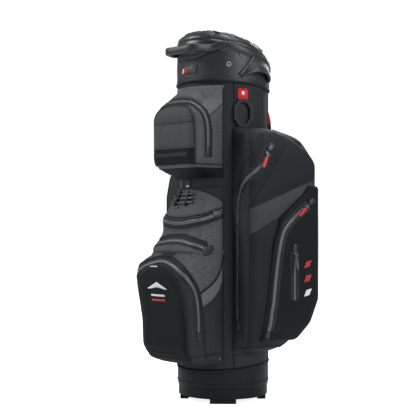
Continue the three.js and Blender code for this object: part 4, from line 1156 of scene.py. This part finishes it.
# Lower pocket: the ball pocket, with its arched zip and two-coloured sides.
BALL_PANEL = [(-.48, 122), (-.47, 240), (-.44, 288), (-.35, 316), (-.18, 327), (0, 328), (.16, 321),
              (.33, 302),
              (.42, 272), (.46, 217), (.48, 122)]
BALL_OUTER = [(-.74, 112), (-.727, 192), (-.69, 262), (-.63, 296), (-.42, 332), (-.15, 348), (.15, 348),
              (.42, 332),
              (.63, 296), (.69, 262), (.727, 192), (.74, 112)]
SIDE_BAND = [[(s * .69, 264), (s * .83, 281), (s * .94, 304), (s, 350)] for s in (-1, 1)]
SIDE_LOW = [[(s * .72, 232), (s * .86, 247), (s * .95, 270), (s, 301)] for s in (-1, 1)]
lower.seams = [BALL_ZIP, BALL_PANEL, BALL_OUTER, *SIDE_BAND, *SIDE_LOW, [(-1, 122), (1, 122)],
               [(-1, 98), (-1, 354)],
               [(1, 98), (1, 354)]]


def zone_lower(a, z):
    size = np.abs(a)
    outer_edge = np.interp(z, [112, 192, 262, 296, 332, 348], [.74, .727, .69, .63, .42, .15])
    beyond = size > outer_edge
    high = np.interp(size, *np.transpose(SIDE_BAND[1]))
    low = np.interp(size, *np.transpose(SIDE_LOW[1]))
    grey = beyond & (z > high)
    accent = beyond & (z > low) & (z <= high)
    panel_edge = np.interp(z, [112, 217, 272, 301, 323, 330], [.48, .46, .43, .36, .18, 0])
    front = size < panel_edge
    return np.where(grey, 1, np.where(accent, 2, np.where(front, 3, 0)))


pocket = pocket_piece("lower_pocket_shell", lower, [black_cloth, grey_heather, grey_light, black_panel],
                      zone_lower,
                      top_cap=True)
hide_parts("lower_pocket")
zip_set("ball_zip", lower, BALL_ZIP, "ball_zip")
garage("ball_garage_right", lower, 0.65, 166, 0, 0.8)
garage("ball_garage_left", lower, -0.65, 139, 0, 0.8)
piping("ball_panel_piping", lower, BALL_PANEL, binding, 1.9)
piping("ball_outer_piping", lower, BALL_OUTER, binding, 2.2)
piping("lower_bottom_piping", lower, [(-.985, 120), (.985, 120)], binding, 1.5, 0)
stitches("lower_stitches", [(lower, BALL_PANEL, 4), (lower, BALL_OUTER, -4.5),
                            (lower, [(-.97, 125), (.97, 125)], 0)],
         thread)
for s in (0, 1):
    band("side_band_%d" % s, lower, SIDE_BAND[s], binding, 6, 1.2, 2, 0.6)
    piping("side_low_piping_%d" % s, lower, SIDE_LOW[s], binding, 0.9)
    piping("lower_edge_%d" % s, lower, [((-1, 1)[s] * .985, 106), ((-1, 1)[s] * .985, 350)], binding, 1.6, 0)
patch("lower_snap", lower, (0.928, 109.5), oval(4, 4), gunmetal, 2.4, 0, 5, 1.0)
patch("ball_label", lower, (-0.12, 324), plate(13, 1.4, 1.0), white_print,
      0.9, -0.5, 3)
# A plain mark on the front: a low peak over two bars, in place of the printed badge.
peak = [(-34, -4), (0, 12), (34, -4), (22, -4), (0, 5), (-22, -4)]
patch("front_mark_peak", lower, (-.03, 277), peak, white_print, 0.5, -0.5, 3)
for k, (z, paint) in enumerate(((258, white_print), (247, red_rubber))):
    patch("front_mark_bar_%d" % k, lower, (-.03, z), plate(23, 2.4, 1.4), paint, 0.5, -0.5, 3)

# ---------------------------------------------------------------- side pockets

STRIPE_HIGH = [(-.49, 458), (.315, 519), (.98, 560)]
STRIPE_LOW = [(-.49, 396), (-.09, 438), (.379, 481), (.98, 528)]
RIGHT_SEAMS = [[(-.255, 621), (-.852, 501)], [(.102, 627), (-.49, 462)], [(-.49, 462), (-.49, 135)]]
right.seams = [SIDE_ZIP, *RIGHT_SEAMS, STRIPE_HIGH, STRIPE_LOW, [(-1, 118), (-1, 650)], [(1, 118), (1, 650)],
               [(.5, 140), (.5, 635)], [(-1, 134), (1, 134)]]


def zone_right(a, z):
    high = np.interp(a, *np.transpose(STRIPE_HIGH))
    low = np.interp(a, *np.transpose(STRIPE_LOW))
    stripe = (a > -.49) & (z < high) & (z > low)
    return np.where(stripe, 1, np.where((a < -.49) | (z < 134), 2, 0))


pocket = pocket_piece("right_pocket_shell", right, [black_diagonal, stripe_cloth, black_cloth], zone_right,
                      240, 1.9)
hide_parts("side_pocket_right")
zip_set("side_zip", right, SIDE_ZIP, "side_zip")
garage("side_garage_top", right, -.2, 600, -38, 0.9)
garage("side_garage_low", right, -.78, 186, 0, 0.8)
for k, seam in enumerate(RIGHT_SEAMS):
    piping("right_seam_%d" % k, right, seam, binding, 1.1, 0)
piping("stripe_high", right, STRIPE_HIGH, binding, 0.8, 1)
piping("stripe_low", right, STRIPE_LOW, binding, 0.8, 1)
piping("right_back_piping", right, [(.5, 128), (.5, 630), (.42, 645)], binding, 1.7, 1)
piping("right_bottom_piping", right, [(-.97, 132), (.97, 132)], binding, 1.5, 0)
for s in (-1, 1):
    piping("right_edge_%d" % (s > 0), right, [(s * .985, 125), (s * .985, 645)], binding, 1.6, 0)
stitches("right_stitches", [(right, RIGHT_SEAMS[0], 4), (right, RIGHT_SEAMS[1], 4),
                            (right, RIGHT_SEAMS[1], -4),
                            (right, [(.5, 140), (.5, 625)], 5), (right, [(.5, 140), (.5, 625)], -5),
                            (right, STRIPE_HIGH, 3.5), (right, STRIPE_LOW, -3.5)], thread)

outer.seams = [OUTER_ZIP, [(.115, 358), (.115, 246)], [(.55, 150), (.55, 512)]]


# The flat pocket's shell, in the darker copy of the diagonal ripstop that paints shade on it.
def outer_piece():
    a = np.linspace(outer.front, outer.back, 150)
    z = np.linspace(outer.floor, outer.roof, 200)
    aa, zz = np.broadcast_arrays(a[None], z[:, None])
    skin = outer.at(aa, zz)
    back_a = np.linspace(outer.back, outer.front, 30)
    bb, bz = np.broadcast_arrays(back_a[None], z[:, None])
    back = right.base(bb, bz) - right.plain_normal(bb, bz) * 7
    points = np.concatenate([skin, back], axis=1)
    faces = closed_faces(len(z), points.shape[1])
    u = np.concatenate([a, back_a]) * right.width
    uv = np.stack(np.broadcast_arrays(u[None], z[:, None]), -1)
    return outwards(make("outer_pocket_shell", points, faces, black_outer_painted_shade, uv=uv))


pocket = outer_piece()
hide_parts("side_pocket_right_outer")
zip_set("outer_zip", outer, OUTER_ZIP, "outer_zip")
zip_set("small_zip", outer, [(.115, 358), (.115, 246)], "small_zip", soften=0, width=6)
garage("outer_garage", outer, .36, 474, -52, 0.8)
garage("outer_garage_low", outer, -.2, 170, 0, 0.7)
garage("small_garage", outer, .115, 366, 0, 0.8)
OUTER_EDGE = [(a + .035, z) for z, a in OUTER_ROWS]
piping("outer_edge_piping", outer, OUTER_EDGE[:-1], binding, 1.3)
stitches("outer_stitches", [(outer, [(a + .075, z) for z, a in OUTER_ROWS[:-1]], 0),
                            (outer, [(.55, 165), (.55, 500)], 3),
                            (outer, [(.55, 165), (.55, 500)], -3)], thread)
piping("outer_back_seam", outer, [(.55, 160), (.55, 505)], binding, 1.0, 0)
# A plain mark low on the flat pocket: three slanted bars, in place of the printed word.
for k in range(3):
    patch("outer_mark_%d" % k, outer, (0.31, 262 + 33 * k), [(-8, -11), (5, -5), (8, 11), (-5, 5)],
          (white_print, red_rubber, red_rubber)[k], 0.45, -0.5, 3, turn=-12)

LEFT_ZIP = [(-.8, 214), (-.8, 476)]
left.seams = [LEFT_ZIP, [(-.5, 130), (-.5, 560)], [(.5, 130), (.5, 560)], [(-1, 134), (1, 134)],
              [(-.5, 420), (.5, 470)]]


def zone_left(a, z):
    line = 445 + 50 * a
    return np.where((np.abs(a) < .5) & (np.abs(z - line) < 16), 1, np.where(np.abs(a) > .5, 2, 0))


pocket = pocket_piece("left_pocket_shell", left, [black_diagonal, stripe_cloth, black_cloth], zone_left,
                      170, 2.2)
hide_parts("side_pocket_left")
zip_set("left_zip", left, LEFT_ZIP, "left_zip", soften=0, proud=0.1)
garage("left_garage", left, -.8, 484, 0, 0.8)
garage("left_garage_low", left, -.8, 206, 0, 0.8)
for k, (a, high) in enumerate(((-.5, 545), (.5, 545), (-.985, 565), (.985, 565))):
    piping("left_piping_%d" % k, left, [(a, 128), (a, high)], binding, 1.6, 0)
piping("left_bottom_piping", left, [(-.97, 132), (.97, 132)], binding, 1.4, 0)
stitches("left_stitches", [(left, [(a, 140), (a, 540)], s) for a in (-.5, .5) for s in (-5, 5)], thread)

# On the body between the front pockets: a hanging strap and a buckle tab.
band("keeper_strap", tube, [(-20, 532), (-20, 508)], grey_light, 6, 1.4, 0, 0.2)
patch("keeper_tab", tube, (-4, 516), plate(8, 11, 2.5), black_rubber, 2.2, 0, 4, 0.6)
patch("keeper_label", tube, (-4, 512), plate(5.5, 1.5, 0.6), white_print,
      3.2, 1.5, 3)

# ---------------------------------------------------------------- towel ring, handle and strap

TAB_TOP = COLLAR_LOW + COLLAR_SLOPE * BODY - 1
tab = patch("towel_tab_webbing", tube, (70, TAB_TOP - 13), plate(13, 13, 2), red_web, 3.4, 0, 5, 0.5,
            edge=0.8)
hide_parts("towel_tab")
patch("towel_tab_label", tube, (70, TAB_TOP - 11), plate(4, 5, 1.8), white_print,
      4.3, 2.5, 3)
tab_skin = Tube(BODY + 3.5)
stitches("towel_tab_stitches", [(tab_skin, [(59.5, TAB_TOP - 3), (80.5, TAB_TOP - 3)], 0),
                                (tab_skin, [(59.5, TAB_TOP - 20), (80.5, TAB_TOP - 20)], 0)], thread)
refine("towel_ring", ring_rubber, 1.4, 3)


def hood_angle(share, v):
    left = 67 + 19 * v
    return left + (120 - left) * share


def hood_low(angle):
    return 781.5 - 15 * (np.clip(angle - 90, -99, 0) / 23) ** 2 - 20 * (np.clip(angle - 90, 0, 99) / 31) ** 2


def hood_piece():
    """The padded hood that shades the side handle's grip, standing off the collar at its lower edge."""
    cols, rows = 70, 22
    share = np.linspace(0, 1, cols)
    arch = np.clip(np.sin(math.pi * share), 0, 1) ** 0.75
    outside, inside = [], []
    for k in range(rows):
        v = k / (rows - 1)
        angle = hood_angle(share, v)
        low = hood_low(angle)
        z = low + (rim_low(angle) + 3 - low) * v
        quilt = 1.3 * abs(math.sin(math.pi * v * 1.5)) ** 0.7
        stand = 17 * arch * (1 - v) ** 0.8 * (1 - 0.12 * (1 - v) ** 6)
        outside.append(around(angle, COLLAR_OUT + 2.2 + stand + quilt * arch, z))
        inside.append(around(angle, COLLAR_OUT - 0.6 + np.maximum(stand - 3.2, 0), z))
    points = np.array(outside + inside[::-1]).transpose(1, 0, 2)
    faces = closed_faces(cols, points.shape[1])
    return outwards(make("side_handle_hood", points, faces, hood_leather))


hood = hood_piece()
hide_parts("side_handle")


class HoodEdge(Surface):
    width = math.radians(1.0) * BODY
    step_a = 0.2

    def base(self, a, z):
        a, z = np.broadcast_arrays(np.asarray(a, float), np.asarray(z, float))
        arch = np.clip(np.sin(math.pi * np.clip((a - 67) / 53, 0, 1)), 0, 1) ** 0.75
        low = hood_low(a)
        v = np.clip((z - low) / np.maximum(rim_low(a) + 3 - low, 1), 0, 1)
        return around(a, COLLAR_OUT + 2.2 + 17 * arch * (1 - v) ** 0.8 * (1 - 0.12 * (1 - v) ** 6), z)


hood_skin = HoodEdge()
edge_line = [(a, float(hood_low(a)) + 1.2) for a in np.linspace(68.5, 118.5, 27)]
piping("hood_piping", hood_skin, edge_line, black_rubber, 2.0, 0, lift=0.2, step=2.5)
stitches("hood_stitches", [(hood_skin, [(a, z + 5.5) for a, z in edge_line], 0)], thread)
handle_strap = [(86, 817), (78, 797), (66.5, 772)]
band("handle_strap", collar_skin, handle_strap, black_leather, 13, 3.8, 1, 0.6)
stitches("handle_strap_stitches", [(Tube(COLLAR_OUT + 3.6), [(84, 812), (68.5, 777)], s) for s in (-4.6,
        4.6)], thread)

STRAP_TOP, STRAP_LENGTH, STRAP_AXIS, STRAP_BOW = 722.0, 392.0, 125.0, 34.0


class Strap(Surface):
    """The shoulder strap's middle surface. `a` is millimetres across it."""
    width = 1.0
    side = -1.0
    step_a = 0.5

    def base(self, a, z):
        a, z = np.broadcast_arrays(np.asarray(a, float), np.asarray(z, float))
        share = np.clip((STRAP_TOP - z) / STRAP_LENGTH, 0, 1)
        return np.stack([a, STRAP_AXIS + STRAP_BOW * np.sin(math.pi * share ** 0.5), z], axis=-1)


strap = Strap()


def strap_z(share):
    return STRAP_TOP - STRAP_LENGTH * share


def web(name, start, end, width, low, high, material):
    section = [(-width / 2, low), (width / 2, low), (width / 2 + 0.3, (low + high) / 2), (width / 2, high),
               (-width / 2, high), (-width / 2 - 0.3, (low + high) / 2)]
    points, faces = swept(strap, [(0, strap_z(start)), (0, strap_z(end))], section, 4.0, 0)
    along, across = np.arange(points.shape[0])[:, None] * 4.0, np.array([s for s, _ in section])[None]
    uv = np.stack(np.broadcast_arrays(along, across), -1)
    return outwards(make(name, points, faces, material, uv=uv, body="strap_body"))


WEBS = (("strap_web_top", 0.003, 0.27, 32, 1.6, black_web), ("strap_web_low", 0.8, 0.997, 32, 1.6, black_web),
        ("strap_fold_top", 0.004, 0.035, 31, 3.0, black_web), ("strap_red", 0.05, 0.115, 33, 2.4, red_web),
        ("strap_white", 0.135, 0.19, 12, 2.2, white_web),
        ("strap_fold_low", 0.965, 0.996, 31, 3.0, black_web))
for name, start, end, width, half, paint in WEBS:
    web(name, start, end, width, -half, half, paint)
stitches("strap_stitches", [(strap, [(x, strap_z(0.006)), (x, strap_z(0.034))], 0) for x in (-12, 12)],
         thread, "strap_body")


def pad_piece():
    """The shoulder pad, which swell() below then puffs out a little by a short cloth simulation."""
    cols, rows = 28, 70
    t = np.arange(cols) * 2 * math.pi / cols
    rings = []
    for k in range(rows):
        v = k / (rows - 1)
        share = 0.222 + 0.626 * v
        end = min(v, 1 - v) * 0.626 * STRAP_LENGTH
        full = math.sqrt(max(1 - (1 - min(end / 16, 1)) ** 2, 0.03))
        waist = 1 - 0.1 * math.sin(math.pi * v)
        x = 23.5 * (0.55 + 0.45 * full) * waist * np.sign(np.cos(t)) * np.abs(np.cos(t)) ** 0.6
        h = 4.2 * full * np.sign(np.sin(t)) * np.abs(np.sin(t)) ** 0.7
        rings.append(strap.at(x, strap_z(share) + 0 * x, h))
    faces = closed_faces(rows, cols)
    return outwards(make("strap_pad", np.array(rings), faces, mesh_pad,
                         body="strap_body"))


SWELL_VOXEL, SWELL_PRESSURE, SWELL_LIMIT, SWELL_FRAMES = 4.5, 4.0, 3.0, 20


def swell(obj):
    """Puffs a closed piece out like stuffed fabric. No point moves further than the limit, in mm."""
    remesh = obj.modifiers.new("voxels", "REMESH")
    remesh.mode = "VOXEL"
    remesh.voxel_size = SWELL_VOXEL * MM
    remesh.use_smooth_shade = True
    apply_modifiers(obj)
    start = np.zeros(len(obj.data.vertices) * 3)
    obj.data.vertices.foreach_get("co", start)
    cloth = obj.modifiers.new("cloth", "CLOTH")
    s = cloth.settings
    s.use_pressure = True
    s.uniform_pressure_force = SWELL_PRESSURE
    s.quality = 6
    s.mass = 0.3
    s.tension_stiffness = 25
    s.compression_stiffness = 25
    s.bending_stiffness = 0.8
    s.effector_weights.gravity = 0
    cloth.collision_settings.use_collision = False
    cloth.point_cache.frame_start, cloth.point_cache.frame_end = 1, SWELL_FRAMES
    for f in range(1, SWELL_FRAMES + 1):
        scene.frame_set(f)
    apply_modifiers(obj)
    end = np.zeros_like(start)
    obj.data.vertices.foreach_get("co", end)
    move = (end - start).reshape(-1, 3)
    size = np.linalg.norm(move, axis=1, keepdims=True)
    move *= np.minimum(1, SWELL_LIMIT * MM / np.maximum(size, 1e-9))
    obj.data.vertices.foreach_set("co", (start.reshape(-1, 3) + move).ravel())
    scene.frame_set(1)
    sub = obj.modifiers.new("smooth", "SUBSURF")
    sub.levels = sub.render_levels = 1
    apply_modifiers(obj)
    return obj


def box_uv(obj):
    """Millimetre weave coordinates after a remesh, from each point's place."""
    mesh = obj.data
    layer = mesh.uv_layers.get("UVMap") or mesh.uv_layers.new(name="UVMap")
    co = np.zeros(len(mesh.vertices) * 3)
    mesh.vertices.foreach_get("co", co)
    co = co.reshape(-1, 3)
    loops = np.zeros(len(mesh.loops), dtype=np.int32)
    mesh.loops.foreach_get("vertex_index", loops)
    layer.data.foreach_set("uv", np.stack([co[:, 0] + co[:, 1] * 0.3, co[:, 2]], -1)[loops].ravel())


pad = pad_piece()
swell(pad)
box_uv(pad)
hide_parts("shoulder_strap")
for s in (-1, 1):
    piping("strap_pad_edge_%d" % (s > 0), strap, [(s * 17.5, strap_z(t)) for t in np.linspace(0.26, 0.81,
                                                                                              12)], binding,
           0.9, 0, body="strap_body", lift=4.6, step=4)
web("strap_pad_band", 0.235, 0.84, 25, 4.1, 6.2, black_web)
for n in ("strap_hook_top", "strap_hook_bottom"):
    refine(n, steel, 0.9, 3)
for n in ("strap_anchor_top", "strap_anchor_bottom"):
    refine(n, black_plastic, 1.0, 3)

# ---------------------------------------------------------------- sliders and pulls

RED_PULLS = ("side_zip", "outer_zip")
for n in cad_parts:
    if n.endswith("_slider"):
        refine(n, gunmetal, 0.5, 2)
    if n.endswith("_pull"):
        refine(n, red_rubber if n.startswith(RED_PULLS) else pull_rubber, 0.55, 2)

# ---------------------------------------------------------------- floor, light and camera


LAMP_TINT, BACKDROP_TINT = (0.95, 0.983, 1), (0.97, 0.985, 1.0, 1)


def area_light(name, place, aim, size, power):
    data = bpy.data.lights.new(name, "AREA")
    data.energy, data.size, data.color = power, size, LAMP_TINT
    lamp = bpy.data.objects.new(name, data)
    scene.collection.objects.link(lamp)
    lamp.location = place
    lamp.rotation_euler = (Vector(aim) - Vector(place)).to_track_quat("-Z", "Y").to_euler()


world = bpy.data.worlds.new("studio")
scene.world = world
world.use_nodes = True
backdrop = world.node_tree.nodes["Background"]
backdrop.inputs["Color"].default_value = BACKDROP_TINT
direct = world.node_tree.nodes.new("ShaderNodeLightPath").outputs["Is Camera Ray"]
level = world.node_tree.nodes.new("ShaderNodeMath")
level.operation = "MULTIPLY_ADD"
level.inputs[1].default_value = 0.82
level.inputs[2].default_value = 0.26
world.node_tree.links.new(direct, level.inputs[0])
world.node_tree.links.new(level.outputs[0], backdrop.inputs["Strength"])

floor_mesh = bpy.data.meshes.new("floor")
reach = 40.0
corners = [(-reach, -reach, 0), (reach, -reach, 0), (reach, reach, 0), (-reach, reach, 0)]
floor_mesh.from_pydata(corners, [], [(0, 1, 2, 3)])
floor = bpy.data.objects.new("floor", floor_mesh)
scene.collection.objects.link(floor)
paint = Paint("pale_floor", 0.9)
shade = paint.ramp(paint.noise(3.0), (0.9, 0.9, 0.9), (0.93, 0.93, 0.93), 0.35, 0.65)
paint.links.new(shade, paint.shader.inputs["Base Color"])
paint.shader.inputs["Emission Color"].default_value = BACKDROP_TINT
seen = paint.nodes.new("ShaderNodeLightPath").outputs["Is Camera Ray"]
paint.links.new(paint.maths("MULTIPLY", seen, 0.9), paint.shader.inputs["Emission Strength"])
floor.data.materials.append(paint.material)

MID = (0, 0, 0.45)
area_light("key", (-1.9, -2.2, 2.3), MID, 1.5, 62)
area_light("side", (2.7, 0.1, 1.7), MID, 1.3, 42)
area_light("top", (0.3, 0.2, 2.9), (0, 0, 0.7), 1.3, 34)
area_light("back", (-1.2, 2.4, 1.8), MID, 1.4, 26)

AZIMUTH, DISTANCE, EYE = math.radians(45), 2.44, 0.434
YAW, PITCH = math.radians(0.86), math.radians(0.63)
forward = Vector((-math.sin(AZIMUTH), math.cos(AZIMUTH), 0))
to_left = Vector((-math.cos(AZIMUTH), -math.sin(AZIMUTH), 0))
look = forward + to_left * math.tan(YAW) + Vector((0, 0, math.tan(PITCH)))
camera_data = bpy.data.cameras.new("camera")
camera_data.lens, camera_data.sensor_width = 86.1, 36.0
camera_data.clip_end = 100
camera = bpy.data.objects.new("camera", camera_data)
scene.collection.objects.link(camera)
camera.location = (DISTANCE * math.sin(AZIMUTH), -DISTANCE * math.cos(AZIMUTH), EYE)
camera.rotation_euler = look.to_track_quat("-Z", "Y").to_euler()
scene.camera = camera
scene.view_settings.view_transform = "Standard"

bpy.context.view_layer.update()
